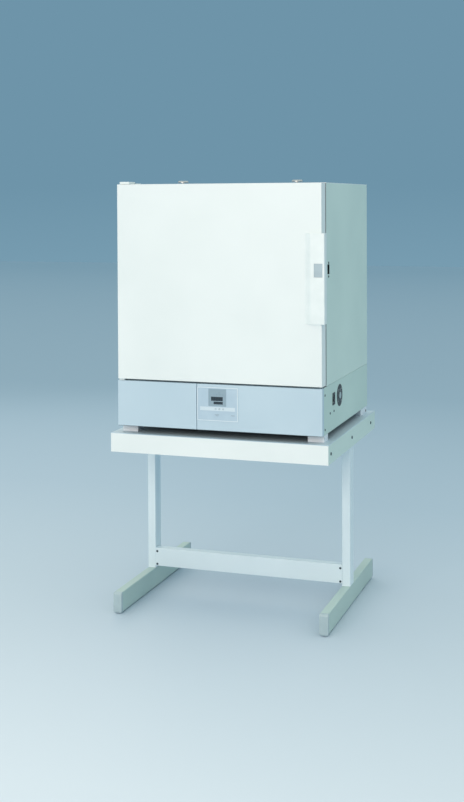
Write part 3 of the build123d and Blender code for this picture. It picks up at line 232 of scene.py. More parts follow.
@dataclass(frozen=True)
class BrushedSteel(Finish):
    """Stainless sheet, belt-brushed: fine scratches one way and a drawn-out highlight."""

    grain: Grain = Grain.ALONG_X
    scratch_mm: float = 0.8
    darker: str = "#B0B3B4"

    def build(self) -> bpy.types.Material:
        """Makes the steel with scratches along its grain."""
        material, shader, place = self.start()
        tree = material.node_tree
        stretched = add_node(tree, "ShaderNodeMapping", {"Vector": place, "Scale": self.grain.value})
        # Belt scratches are near 0.1 mm; drawn at 0.8 mm so that they show at this distance
        scratches = self.speckle(tree, stretched.outputs["Vector"], self.scratch_mm, 4.0)
        self.vary_colour(tree, shader, scratches, self.darker, self.colour)
        self.vary_roughness(tree, shader, scratches, 0.08)
        self.raise_surface(tree, shader, scratches, 0.015, 0.2)
        shader.inputs["Anisotropic"].default_value = 0.4
        return material


@dataclass(frozen=True)
class ZincPlate(Finish):
    """Plated, oxidised or polished metal, zinc plate first of all: cloudy in shade and gloss."""

    darker: str = "#8B9094"
    cloud_mm: float = 9.0

    def build(self) -> bpy.types.Material:
        """Makes the metal with its clouds."""
        material, shader, place = self.start()
        tree = material.node_tree
        clouds = self.speckle(tree, place, self.cloud_mm, 3.0)
        self.vary_colour(tree, shader, clouds, self.darker, self.colour)
        self.vary_roughness(tree, shader, clouds, 0.1)
        return material


@dataclass(frozen=True)
class MouldedPlastic(Finish):
    """Moulded plastic, printed film or ink: even colour with a fine grain in its gloss."""

    darker: str = "#D8DEDE"
    grain_mm: float = 0.8
    grain_depth_mm: float = 0.02
    drift_mm: float = 40.0

    def build(self) -> bpy.types.Material:
        """Makes the plastic with its grain and a slow drift of its shade."""
        material, shader, place = self.start()
        tree = material.node_tree
        drift = self.speckle(tree, place, self.drift_mm)
        self.vary_colour(tree, shader, drift, self.darker, self.colour)
        grain = self.speckle(tree, place, self.grain_mm, 1.0)
        self.vary_roughness(tree, shader, grain, 0.04)
        self.raise_surface(tree, shader, grain, self.grain_depth_mm, 0.3)
        return material


@dataclass(frozen=True)
class SmokedWindow(Finish):
    """Smoked acrylic over the lamps of a display: near black, polished, with a hard highlight."""

    darker: str = "#0B1C24"

    def build(self) -> bpy.types.Material:
        """Makes the window with a faint haze left by wiping."""
        material, shader, place = self.start()
        tree = material.node_tree
        haze = self.speckle(tree, place, 12.0)
        self.vary_colour(tree, shader, haze, self.darker, self.colour)
        self.vary_roughness(tree, shader, haze, 0.04)
        shader.inputs["Coat Weight"].default_value = 0.4
        return material


@dataclass(frozen=True)
class SiliconeRubber(Finish):
    """Silicone, extruded or moulded: soft and dusty in its sheen."""

    darker: str = "#8F9290"

    def build(self) -> bpy.types.Material:
        """Makes the rubber with dust in its shade and a fine relief."""
        material, shader, place = self.start()
        tree = material.node_tree
        dust = self.speckle(tree, place, 18.0, 3.0)
        self.vary_colour(tree, shader, dust, self.darker, self.colour)
        fine = self.speckle(tree, place, 1.0, 1.0)
        self.raise_surface(tree, shader, fine, 0.05, 0.4)
        shader.inputs["Sheen Weight"].default_value = 0.15
        return material


@dataclass(frozen=True)
class MineralWool(Finish):
    """Pressed mineral wool: yellow-grey fibres laid in flat, uneven layers."""

    darker: str = "#9E8F5E"

    def build(self) -> bpy.types.Material:
        """Makes the wool with long fibres and clumps."""
        material, shader, place = self.start()
        tree = material.node_tree
        layered = add_node(tree, "ShaderNodeMapping", {"Vector": place, "Scale": (1.0, 1.0, 4.0)})
        fibres = self.speckle(tree, layered.outputs["Vector"], 6.0, 8.0)
        self.vary_colour(tree, shader, fibres, self.darker, self.colour)
        self.raise_surface(tree, shader, fibres, 1.5, 0.8)
        return material


@dataclass(frozen=True)
class HeaterSheath(Finish):
    """Drawn nickel-steel heater sheath: dull brown-grey oxide with straw and blue patches."""

    darker: str = "#3A332E"

    def build(self) -> bpy.types.Material:
        """Makes the oxide in patches along the rod."""
        material, shader, place = self.start()
        tree = material.node_tree
        patches = self.speckle(tree, place, 30.0, 4.0)
        self.vary_colour(tree, shader, patches, self.darker, self.colour)
        self.vary_roughness(tree, shader, patches, 0.12)
        return material


@dataclass(frozen=True)
class ShadePaintedVinyl(Finish):
    """Backdrop vinyl with painted shade: palest in front, deeper to the rear, by depth in metres, where the
    light falls off behind the stand.
    """

    front_m: float = -1.5
    rear_m: float = 20.0
    painted_shade_stops: tuple[tuple[float, str], ...] = ((1.4, "#AEC3D4"), (4.5, "#90ACC0"))
    rear_colour: str = "#6C94AE"

    def build(self) -> bpy.types.Material:
        """Makes the vinyl with its painted shade set by the depth behind the stand."""
        material, shader, place = self.start()
        tree = material.node_tree
        depth = add_node(tree, "ShaderNodeSeparateXYZ", {"Vector": place}).outputs["Y"]
        share = add_node(tree, "ShaderNodeMapRange", {"Value": depth, "From Min": self.front_m,
                                                      "From Max": self.rear_m})
        ramp = add_node(tree, "ShaderNodeValToRGB", {"Fac": share.outputs["Result"]})
        stops = ramp.color_ramp.elements
        stops[0].color = linear(self.colour)
        stops[1].color = linear(self.rear_colour)
        for metres, shade in self.painted_shade_stops:
            stops.new((metres - self.front_m) / (self.rear_m - self.front_m)).color = linear(shade)
        tree.links.new(ramp.outputs["Color"], shader.inputs["Base Color"])
        return material


@dataclass(frozen=True)
class BoardLaminate(Finish):
    """Glass-fibre circuit board with its green lacquer over the weave."""

    darker: str = "#0A3A1E"

    def build(self) -> bpy.types.Material:
        """Makes the board with the weave of its glass cloth."""
        material, shader, place = self.start()
        tree = material.node_tree
        weave = add_node(tree, "ShaderNodeTexBrick",
                         {"Vector": place, "Scale": 120.0, "Color1": linear(self.colour),
                          "Color2": linear(self.darker), "Mortar": linear(self.darker)})
        tree.links.new(weave.outputs["Color"], shader.inputs["Base Color"])
        return material


# The tints of the coats below are matched to the photograph under this scene's lights. Some of
# them may be one coat on the real stand and oven, seen there in different light.
# White powder coat of the door, the end aprons, the top and the hinges: near white, a cool tint
WHITE_ENAMEL = PowderCoat("white_powder_coat", "#EEF4F4", 0.38, darker="#E8EFEF")
# Pale blue-grey powder coat of the control panel, the left front cover and the stand's shelf
GREY_ENAMEL = PowderCoat("blue_grey_powder_coat", "#C4D8E4", 0.42, darker="#BCD1DE")
# Pale green-grey coat of the cabinet's sides and rear and of the side aprons: painted shade, a darker and
# greener copy of the pale coat for the shade on these faces
CABINET_COAT_PAINTED_SHADE = PowderCoat("cabinet_coat_painted_shade", "#D8EBE4", 0.42, darker="#CFE3DC")
# Coat of the base's sides and rear, a shade deeper than the cabinet's: painted shade, a darker copy of the
# pale coat for the shade on these faces
BASE_COAT_PAINTED_SHADE = PowderCoat("base_coat_painted_shade", "#CCE2DB", 0.44, darker="#C3DAD3")
# Coat of the support pads: near white with painted light, bluer and brighter than the white coat for the
# cool light that the pads miss under the oven's edge
PAD_COAT_PAINTED_LIGHT = PowderCoat("pad_coat_painted_light", "#F4F9FF", 0.42, darker="#ECF2F9")
# Powder coat of the stand's legs, cross beam and weld beads: near white, a blue tint
STAND_ENAMEL = PowderCoat("stand_powder_coat", "#E7F4F9", 0.4, darker="#DDEBF1")
# Coat of the foot tubes, greyer and greener than the legs': painted shade, a darker copy of the pale coat
# for the shade on their sides and tops
FOOT_COAT_PAINTED_SHADE = PowderCoat("foot_coat_painted_shade", "#BBD1CC", 0.45, darker="#B1C8C3")
# Dark grey on the base's pan, painted shade: dull, it stands in for the shade in the gap under the oven
PAN_PAINTED_SHADE = PowderCoat("pan_painted_shade", "#3A4846", 0.6, darker="#333F3E")
# Belt-brushed stainless sheet in three directions of grain: soft grey, highlights across the grain
STAINLESS = BrushedSteel("brushed_stainless", "#C9CBCB", 0.32, 1.0)
STAINLESS_UPRIGHT = BrushedSteel("brushed_stainless_upright", "#C9CBCB", 0.32, 1.0,
                                 grain=Grain.ALONG_Z)
STAINLESS_DEEP = BrushedSteel("brushed_stainless_deep", "#C4C6C6", 0.34, 1.0, grain=Grain.ALONG_Y)
# Electropolished stainless of the wire shelves and the probe: bright, with broad faint clouds
BRIGHT_WIRE = ZincPlate("polished_stainless_wire", "#D2D3D2", 0.22, 1.0, darker="#B4B6B6",
                        cloud_mm=25.0)
# Bright zinc plate on pressed steel: bluish grey with soft clouds
ZINC = ZincPlate("zinc_plated_steel", "#B4BABE", 0.36, 1.0)
# Screws of the catch, blackened in a hot oxide bath
BLACK_OXIDE = ZincPlate("black_oxide_steel", "#23282A", 0.5, 1.0, darker="#1A1E20")
# Screws with a dark grey passivation over the zinc
DARK_ZINC = ZincPlate("dark_passivated_zinc", "#4F6069", 0.45, 1.0, darker="#3F4F58")
# Injection-moulded ABS, smooth and half gloss: white for the handle, grey for the push key and the
# thermostat, pale grey for the foot caps and the dial's disc
WHITE_ABS = MouldedPlastic("white_abs", "#EEF5F5", 0.34, ior=1.53, darker="#E8F0F0")
GREY_ABS = MouldedPlastic("grey_abs", "#B3C4CC", 0.45, ior=1.53, darker="#A9BBC4")
CAP_ABS = MouldedPlastic("pale_grey_abs", "#B4C6CB", 0.45, ior=1.53, darker="#AABDC3")
# Compression-moulded phenolic of the breaker, dial plate, gland, relay, terminals and catch:
# black, half matt
BLACK_PHENOLIC = MouldedPlastic("black_phenolic", "#1B1E20", 0.4, ior=1.6, darker="#131516")
# Screen-printed polyester film of the fascia in four shades: even colour, low gloss, fine grain
FASCIA_FIELD = MouldedPlastic("fascia_film_pale", "#B9CEDD", 0.32, ior=1.58, darker="#B2C8D8",
                              grain_depth_mm=0.008)
FASCIA_BLOCK = MouldedPlastic("fascia_film_slate", "#94ABB9", 0.32, ior=1.58, darker="#8CA3B2",
                              grain_depth_mm=0.008)
FASCIA_WHITE = MouldedPlastic("fascia_film_white", "#E8F2F7", 0.3, ior=1.58, darker="#E1ECF3",
                              grain_depth_mm=0.008)
FASCIA_STRIP = MouldedPlastic("fascia_film_strip", "#D5E3EC", 0.3, ior=1.58, darker="#CFDEE8",
                              grain_depth_mm=0.008)
# Moulded silicone keys: soft grey with a dusty sheen
KEY_RUBBER = SiliconeRubber("key_rubber", "#B4C5D1", 0.5, ior=1.45, darker="#ABBDCA")
WINDOW = SmokedWindow("smoked_acrylic", "#10293A", 0.12, ior=1.49)
# Unlit bars behind the window: a shade over the window's own dark
LAMP_BAR = MouldedPlastic("unlit_lamp_diffuser", "#213D4C", 0.5, ior=1.5, darker="#1D3746")
# Screen inks: slate dashes on the fascia, white signs and scale on the controls
MARK_INK = MouldedPlastic("slate_screen_ink", "#7D93A2", 0.6, darker="#778D9C")
SCALE_INK = MouldedPlastic("white_screen_ink", "#F1F4F4", 0.55, darker="#E6EBEB")
SEAL_RUBBER = SiliconeRubber("grey_silicone_seal", "#A6A9A7", 0.62, ior=1.41)
WOOL = MineralWool("mineral_wool_batt", "#C9BB88", 0.95)
# Turned brass of the hinge bushes: warm, with the clean gloss of a cut surface
BRASS = ZincPlate("turned_brass", "#C8A254", 0.3, 1.0, darker="#A9853D", cloud_mm=5.0)
LAMINATE = BoardLaminate("circuit_board_lacquer", "#12532D", 0.35)
SHEATH = HeaterSheath("oxidised_heater_sheath", "#6A5F55", 0.48, 0.9)
# Pale floor vinyl whose grade to the rear is painted shade
FLOOR_PAINTED_SHADE = ShadePaintedVinyl("pale_floor_painted_shade", "#D5E0EA", 0.6)


def rounded(width: float, height: float, radius: float, steps: int = 5,
            centre: Flat = (0.0, 0.0)) -> list[Flat]:
    """Outline of a rectangle with round corners.

    Args:
        width: full width in millimetres.
        height: full height.
        radius: corner radius.
        steps: runs in each corner's arc.
        centre: middle of the rectangle.

    Returns:
        Points once round, always as many for the same steps.
    """
    outline = []
    for corner, (side_x, side_y) in enumerate(((1, 1), (-1, 1), (-1, -1), (1, -1))):
        middle_x = centre[0] + side_x * (width / 2 - radius)
        middle_y = centre[1] + side_y * (height / 2 - radius)
        for step in range(steps + 1):
            angle = math.radians(90 * (corner + step / steps))
            outline.append((middle_x + radius * math.cos(angle), middle_y + radius * math.sin(angle)))
    return outline


def circle(radius: float, count: int = 24, centre: Flat = (0.0, 0.0)) -> list[Flat]:
    """Points once round a circle."""
    return [(centre[0] + radius * math.cos(2 * math.pi * step / count),
             centre[1] + radius * math.sin(2 * math.pi * step / count)) for step in range(count)]


@dataclass
class Shape:
    """Points and faces of one piece, gathered in millimetres before they become a mesh."""

    name: str
    points: list[Point] = field(default_factory=list)
    faces: list[tuple[int, ...]] = field(default_factory=list)

    def loft(self, rings: Sequence[Sequence[Point]], closed: bool = False) -> None:
        """Joins rings of the same count into a skin.

        Args:
            rings: rings of points, from the first to the last.
            closed: joins the last ring to the first; otherwise both ends get a lid.
        """
        start, count = len(self.points), len(rings[0])
        for ring in rings:
            self.points.extend(ring)
        for step in range(len(rings) if closed else len(rings) - 1):
            low, high = start + step * count, start + (step + 1) % len(rings) * count
            for index in range(count):
                after = (index + 1) % count
                self.faces.append((low + index, low + after, high + after, high + index))
        if not closed:
            self.faces.append(tuple(range(start + count - 1, start - 1, -1)))
            last = start + (len(rings) - 1) * count
            self.faces.append(tuple(range(last, last + count)))

    def slab(self, side: Side, origin: Point, outline: Sequence[Flat], low: float,
             high: float) -> None:
        """Adds a flat slab with an outline, from a low to a high level over a face."""
        self.loft([[side.point(origin, u, v, level) for u, v in outline] for level in (low, high)])

    def frame(self, side: Side, origin: Point, outer: Sequence[Flat], inner: Sequence[Flat],
              low: float, high: float) -> None:
        """Adds a flat frame between two outlines of the same count."""
        steps = ((outer, low), (outer, high), (inner, high), (inner, low))
        self.loft([[side.point(origin, u, v, level) for u, v in outline] for outline, level in steps],
                  closed=True)

    def screw_head(self, side: Side, origin: Point, radius: float, height: float,
                   shank: float, length: float) -> None:
        """Adds a domed screw head with a cross recess, and its shank behind it.

        Args:
            side: face that carries the screw.
            origin: seat of the head.
            radius: radius of the head.
            height: height of the dome.
            shank: radius of the shank.
            length: length of the shank.
        """
        angles = [math.radians(90 * arm + turn) for arm in range(4)
                  for turn in (-14, -10, 10, 14, 32, 58)]
        levels = ((shank, -length), (shank, 0.0), (radius, 0.0), (radius, 0.35 * height),
                  (0.9 * radius, 0.72 * height), (0.62 * radius, 0.95 * height),
                  (0.54 * radius, height), (0.5 * radius, height), (0.12 * radius, height))
        rings = []
        for ring_radius, level in levels:
            ring = []
            for index, angle in enumerate(angles):
                sunk = ring_radius <= 0.5 * radius and level > 0 and index % 6 in (1, 2)
                out = level - 0.55 * height if sunk else level
                ring.append(side.point(origin, ring_radius * math.cos(angle),
                                       ring_radius * math.sin(angle), out))
            rings.append(ring)
        self.loft(rings)

    def finish(self, body: str, finish: Finish, slot: str | None = None,
               stands_for: Sequence[str] = (), smooth: bool = False) -> bpy.types.Object:
        """Makes the mesh, dresses it and lets it ride on a body.

        Args:
            body: body of the frame that carries the piece.
            finish: what its surface is made of.
            slot: the record's material slot, where it has one; not used.
            stands_for: solids that this piece takes the place of.
            smooth: shades gentle angles round.

        Returns:
            The finished object.
        """
        mesh = bpy.data.meshes.new(self.name)
        mesh.from_pydata([tuple(Vector(point) * MM) for point in self.points], [], self.faces)
        mesh.validate()
        mesh.materials.append(finish.material())
        piece = bpy.data.objects.new(self.name, mesh)
        bpy.context.scene.collection.objects.link(piece)
        turn_faces_out(mesh)
        if smooth:
            mesh.shade_smooth()
            mesh.set_sharp_from_angle(angle=math.radians(SMOOTH_DEGREES))
        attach(piece, body)
        if stands_for:
            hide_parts(*stands_for)
        LOG.info("piece %s on %s: %d points", self.name, body, len(self.points))
        return piece


def turn_faces_out(mesh: bpy.types.Mesh) -> None:
    """Turns every face of a closed mesh outward."""
    work = bmesh.new()
    work.from_mesh(mesh)
    bmesh.ops.recalc_face_normals(work, faces=work.faces)
    work.to_mesh(mesh)
    work.free()


def dress(finish: Finish, *nodes: str) -> None:
    """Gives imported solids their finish.

    Args:
        finish: what the solids are made of.
        nodes: names of the solids.
    """
    for name in nodes:
        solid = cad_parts[name]
        if not solid.material_slots:
            solid.data.materials.append(finish.material())
        for held in solid.material_slots:
            held.material = finish.material()
        LOG.info("solid %s in %s", name, finish.name)


@dataclass
class FloorStand:
    """Shelf, aprons, legs, feet and beam, with their screws and weld beads."""

    side_x: float = 377.0
    screw_ys: tuple[float, float, float] = (-312.5, -21.3, 272.5)
    screw_z: float = 583.5
    head_radius: float = 5.5
    head_height: float = 2.5
    beam_front_y: float = -35.0
    beam_screw_x: float = 338.5
    beam_screw_zs: tuple[float, float] = (87.0, 133.0)
    beam_head_radius: float = 4.0
    beam_head_height: float = 1.6
    shank_radius: float = 2.0
    screw_length: float = 9.0
    leg_x: float = 359.0
    leg_width: float = 29.0
    leg_y: tuple[float, float] = (-35.0, 17.0)
    foot_top_z: float = 73.0
    bead: float = 3.0

    def build(self) -> None:
        """Dresses the stand's solids and adds its small pieces."""
        dress(WHITE_ENAMEL, "stand_end_aprons")
        dress(CABINET_COAT_PAINTED_SHADE, "stand_side_aprons")
        dress(STAND_ENAMEL, "stand_legs", "cross_beam")
        dress(GREY_ENAMEL, "stand_shelf")
        dress(PAD_COAT_PAINTED_LIGHT, "support_pads")
        dress(FOOT_COAT_PAINTED_SHADE, "stand_feet")
        dress(CAP_ABS, "foot_end_caps")
        dress(ZINC, "corner_angles")
        self.screws()
        self.welds()

    def screws(self) -> None:
        """Screws of the side aprons and of the beam."""
        heads = Shape("stand_screw_set")
        for side, face in ((-1, Side.LEFT), (1, Side.RIGHT)):
            for screw_y in self.screw_ys:
                heads.screw_head(face, (side * self.side_x, screw_y, self.screw_z),
                                 self.head_radius, self.head_height, self.shank_radius,
                                 self.screw_length)
            for screw_z in self.beam_screw_zs:
                heads.screw_head(Side.FRONT, (side * self.beam_screw_x, self.beam_front_y, screw_z),
                                 self.beam_head_radius, self.beam_head_height, self.shank_radius,
                                 self.screw_length)
        heads.finish("oven", DARK_ZINC, "zinc_steel", ["stand_screws"], smooth=True)

    def welds(self) -> None:
        """Painted-over weld beads round the foot of each leg."""
        beads = Shape("leg_weld_beads")
        middle_y = sum(self.leg_y) / 2
        depth = self.leg_y[1] - self.leg_y[0]
        for side in (-1, 1):
            origin = (side * self.leg_x, middle_y, self.foot_top_z)
            profile = ((0.0, 0.0), (self.bead * 0.75, 0.3), (self.bead * 0.3, self.bead * 0.75),
                       (0.0, self.bead))
            rings = []
            for outward, level in profile:
                outline = rounded(self.leg_width - 0.2, depth + 2 * outward, 2.0)
                rings.append([Side.TOP.point(origin, u, v, level) for u, v in outline])
            beads.loft(rings, closed=True)
        beads.finish("oven", STAND_ENAMEL, "stand_enamel", smooth=True)


@dataclass
class Base:
    """Lower housing: covers, sides, rear, pan, deck and what sits inside it."""

    half_width: float = 355.0
    pad_x: float = 351.4
    cover_screw_y: float = -301.0
    cover_screw_zs: tuple[float, float] = (656.6, 767.6)
    side_screws: tuple[Flat, ...] = ((-234.3, 699.5), (-183.8, 699.5))
    pad_screw: Flat = (306.0, 621.5)
    catch_screws: tuple[Flat, ...] = ((-250.0, 1147.5), (-250.0, 1192.0))
    hinge_screws: tuple[Flat, ...] = ((-329.0, -241.0), (-329.0, -265.0))
    hinge_top_z: float = 1454.5
    head_radius: float = 4.0
    head_height: float = 1.6
    shank_radius: float = 1.8
    screw_length: float = 9.0

    def build(self) -> None:
        """Dresses the base's solids and adds the small screws of the whole oven."""
        dress(GREY_ENAMEL, "control_panel", "left_front_cover")
        dress(BASE_COAT_PAINTED_SHADE, "base_sides", "base_rear")
        dress(PAN_PAINTED_SHADE, "base_pan")
        dress(ZINC, "base_deck")
        dress(BLACK_PHENOLIC, "mains_gland", "solid_state_relay", "terminal_block")
        self.screws()

    def screws(self) -> None:
        """Screws of the covers, sides, pads, catch and top hinge."""
        heads = Shape("oven_screw_set")
        places = [(side * self.half_width, self.cover_screw_y, z)
                  for side in (-1, 1) for z in self.cover_screw_zs]
        places += [(self.half_width, y, z) for y, z in self.side_screws]
        places += [(side * self.pad_x, *self.pad_screw) for side in (-1, 1)]
        for place in places:
            face = Side.RIGHT if place[0] > 0 else Side.LEFT
            heads.screw_head(face, place, self.head_radius, self.head_height, self.shank_radius,
                             self.screw_length)
        for screw_x, screw_y in self.hinge_screws:
            heads.screw_head(Side.TOP, (screw_x, screw_y, self.hinge_top_z), self.head_radius,
                             self.head_height, self.shank_radius, self.screw_length)
        heads.finish("oven", DARK_ZINC, "zinc_steel", ["oven_screws"], smooth=True)
        blackened = Shape("catch_screw_set")
        for y, z in self.catch_screws:
            blackened.screw_head(Side.RIGHT, (self.half_width, y, z), self.head_radius,
                                 self.head_height, self.shank_radius, self.screw_length)
        blackened.finish("oven", BLACK_OXIDE, "zinc_steel", smooth=True)


@dataclass
class Controller:
    """Control fascia in the lower panel: printed film, two windows, keys and marks."""

    centre: Flat = (1.0, 727.8)
    front_y: float = -335.6
    width: float = 141.0
    height: float = 110.5
    rim: float = 2.2
    film: float = 0.15
    block_centre: Flat = (-0.7, 21.7)
    block_size: Flat = (61.5, 57.0)
    block_proud: float = 0.3
    windows: tuple[tuple[float, float, float, float], ...] = (
        (-22.3, 10.8, 18.4, 24.3), (-13.6, -0.4, 18.4, 8.6))
    strip_centre: Flat = (0.0, -15.5)
    strip_size: Flat = (122.0, 12.5)
    strip_proud: float = 0.6
    key_xs: tuple[float, float, float] = (-6.0, 7.0, 20.0)
    key_radius: float = 2.5
    key_proud: float = 1.8
    key_mark_shift: float = 1.0
    key_cell: float = 10.0
    key_clearance: float = 0.4
    print_height: float = 0.05
    print_seat: float = 0.02
    figures: int = 4
    block_dashes: tuple[tuple[float, float, float], ...] = (
        (6.0, 37.7, 7.0), (-2.0, 31.7, 4.0), (7.5, 31.7, 6.0), (19.0, 31.7, 5.0))
    field_dashes: tuple[tuple[float, float, float], ...] = (
        (-2.0, -34.6, 16.0), (53.0, -35.6, 13.0), (-2.0, -38.0, 9.0))

    def build(self) -> None:
        """Dresses the display module and lays the printed film over it."""
        dress(FASCIA_FIELD, "display_module")
        dress(WINDOW, "display_windows")
        dress(KEY_RUBBER, "key_1", "key_2", "key_3")
        dress(LAMINATE, "control_board")
        self.border()
        self.slate_film()
        self.strip_film()
        self.digits()
        self.marks()
        self.key_signs()

    @property
    def origin(self) -> Point:
        """Middle of the module's front face."""
        return self.centre[0], self.front_y, self.centre[1]

    def border(self) -> None:
        """White printed border round the fascia."""
        outer = rounded(self.width - 0.4, self.height - 0.4, 1.2)
        inner = rounded(self.width - 2 * self.rim, self.height - 2 * self.rim, 0.6)
        border = Shape("fascia_border")
        border.frame(Side.FRONT, self.origin, outer, inner, 0.0, self.film)
        border.finish("oven", FASCIA_WHITE, "grey_plastic")

    def slate_film(self) -> None:
        """Slate-blue film on the raised block, in bands that leave the two windows open."""
        film = Shape("fascia_slate_block")
        low, high = self.block_proud, self.block_proud + self.film
        half_width, half_height = self.block_size[0] / 2, self.block_size[1] / 2
        middle_x, middle_z = self.block_centre
        edges = (middle_x - half_width, middle_x + half_width)
        (big_left, big_low, right, big_high), (small_left, small_low, _, small_high) = self.windows
        bands = (
            (edges[0], middle_z - half_height, edges[1], small_low),
            (edges[0], small_low, small_left, small_high), (right, small_low, edges[1], small_high),
            (edges[0], small_high, edges[1], big_low),
            (edges[0], big_low, big_left, big_high), (right, big_low, edges[1], big_high),
            (edges[0], big_high, edges[1], middle_z + half_height),
        )
        for left, bottom, end, top in bands:
            outline = [(left, bottom), (end, bottom), (end, top), (left, top)]
            film.slab(Side.FRONT, self.origin, outline, low, high)
        film.finish("oven", FASCIA_BLOCK, "grey_plastic")

    def strip_film(self) -> None:
        """Pale film on the raised strip; its openings sit key_mark_shift to the right of the keys."""
        strip = Shape("fascia_strip")
        low, high = self.strip_proud, self.strip_proud + self.film
        middle_x, middle_z = self.strip_centre
        half_width, half_height = self.strip_size[0] / 2, self.strip_size[1] / 2
        half_cell = self.key_cell / 2
        cells = [middle_x - half_width, *(x + step for x in self.key_xs for step in (-half_cell, half_cell)),
                 middle_x + half_width]
        for index in range(0, len(cells), 2):
            left, right = cells[index], cells[index + 1]
            low_z, high_z = middle_z - half_height, middle_z + half_height
            outline = [(left, low_z), (right, low_z), (right, high_z), (left, high_z)]
            strip.slab(Side.FRONT, self.origin, outline, low, high)
        for key_x in self.key_xs:
            key_centre = (key_x - self.centre[0] + self.key_mark_shift, middle_z)
            outer = rounded(self.key_cell, 2 * half_height, 0.01, 5, key_centre)
            reach = self.key_radius + self.key_clearance
            inner = rounded(2 * reach, 2 * reach, reach, 5, key_centre)
            strip.frame(Side.FRONT, self.origin, outer, inner, low, high)
        strip.finish("oven", FASCIA_STRIP, "grey_plastic")

    def digits(self) -> None:
        """Unlit bars of the seven-bar figures behind both windows."""
        bars = Shape("unlit_figure_bars")
        for left, bottom, right, top in self.windows:
            height = 0.68 * (top - bottom)
            pitch = (right - left) / (self.figures + 0.3)
            for place in range(self.figures):
                self.figure(bars, left + pitch * (place + 0.65), (bottom + top) / 2, height)
        bars.finish("oven", LAMP_BAR, "dark_window")

    def figure(self, bars: Shape, middle_x: float, middle_z: float, height: float) -> None:
        """Adds the seven bars of one figure.

        Args:
            bars: piece that gets the bars.
            middle_x: middle of the figure across the fascia.
            middle_z: middle of the figure up the fascia.
            height: height of the figure.
        """
        half = height / 2
        arm = 0.28 * height
        thick = 0.055 * height
        upright = [(-thick, -half / 2 + thick * 2), (0, -half / 2 + thick), (thick, -half / 2 + thick * 2),
                   (thick, half / 2 - thick * 2), (0, half / 2 - thick), (-thick, half / 2 - thick * 2)]
        level = [(-arm + thick * 2, -thick), (arm - thick * 2, -thick), (arm - thick, 0),
                 (arm - thick * 2, thick), (-arm + thick * 2, thick), (-arm + thick, 0)]
        places = [(upright, side * arm, end * half / 2) for side in (-1, 1) for end in (-1, 1)]
        places += [(level, 0.0, step * half) for step in (-1, 0, 1)]
        for outline, across, up in places:
            slanted = [(middle_x + across + u + 0.12 * (up + v), middle_z + up + v) for u, v in outline]
            bars.slab(Side.FRONT, self.origin, slanted, -0.04, 0.02)

    def marks(self) -> None:
        """Small printed dashes that name nothing."""
        marks = Shape("fascia_marks")
        for dashes, thick, level in ((self.block_dashes, 1.3, self.block_proud + self.film),
                                     (self.field_dashes, 1.2, 0.0)):
            for across, up, length in dashes:
                marks.slab(Side.FRONT, self.origin, rounded(length, thick, 0.5, 3, (across, up)),
                           level, level + self.print_height)
        marks.finish("oven", MARK_INK, "grey_plastic")

    def key_signs(self) -> None:
        """Ring, down arrow and up arrow, key_mark_shift to the right of the keys' middles."""
        for number, (key_x, kind) in enumerate(zip(self.key_xs, ("ring", "down", "up")), start=1):
            sign = Shape(f"key_{number}_sign")
            origin = (key_x + self.key_mark_shift, self.front_y - self.key_proud,
                      self.centre[1] + self.strip_centre[1])
            if kind == "ring":
                sign.frame(Side.FRONT, origin, circle(1.3), circle(0.9), -self.print_seat,
                           self.print_height)
            else:
                way = 1.0 if kind == "up" else -1.0
                outline = [(-1.2, -0.7 * way), (1.2, -0.7 * way), (0.0, 1.1 * way)]
                sign.slab(Side.FRONT, origin, outline, -self.print_seat, self.print_height)
            sign.finish(f"key_{number}", SCALE_INK, "grey_plastic")


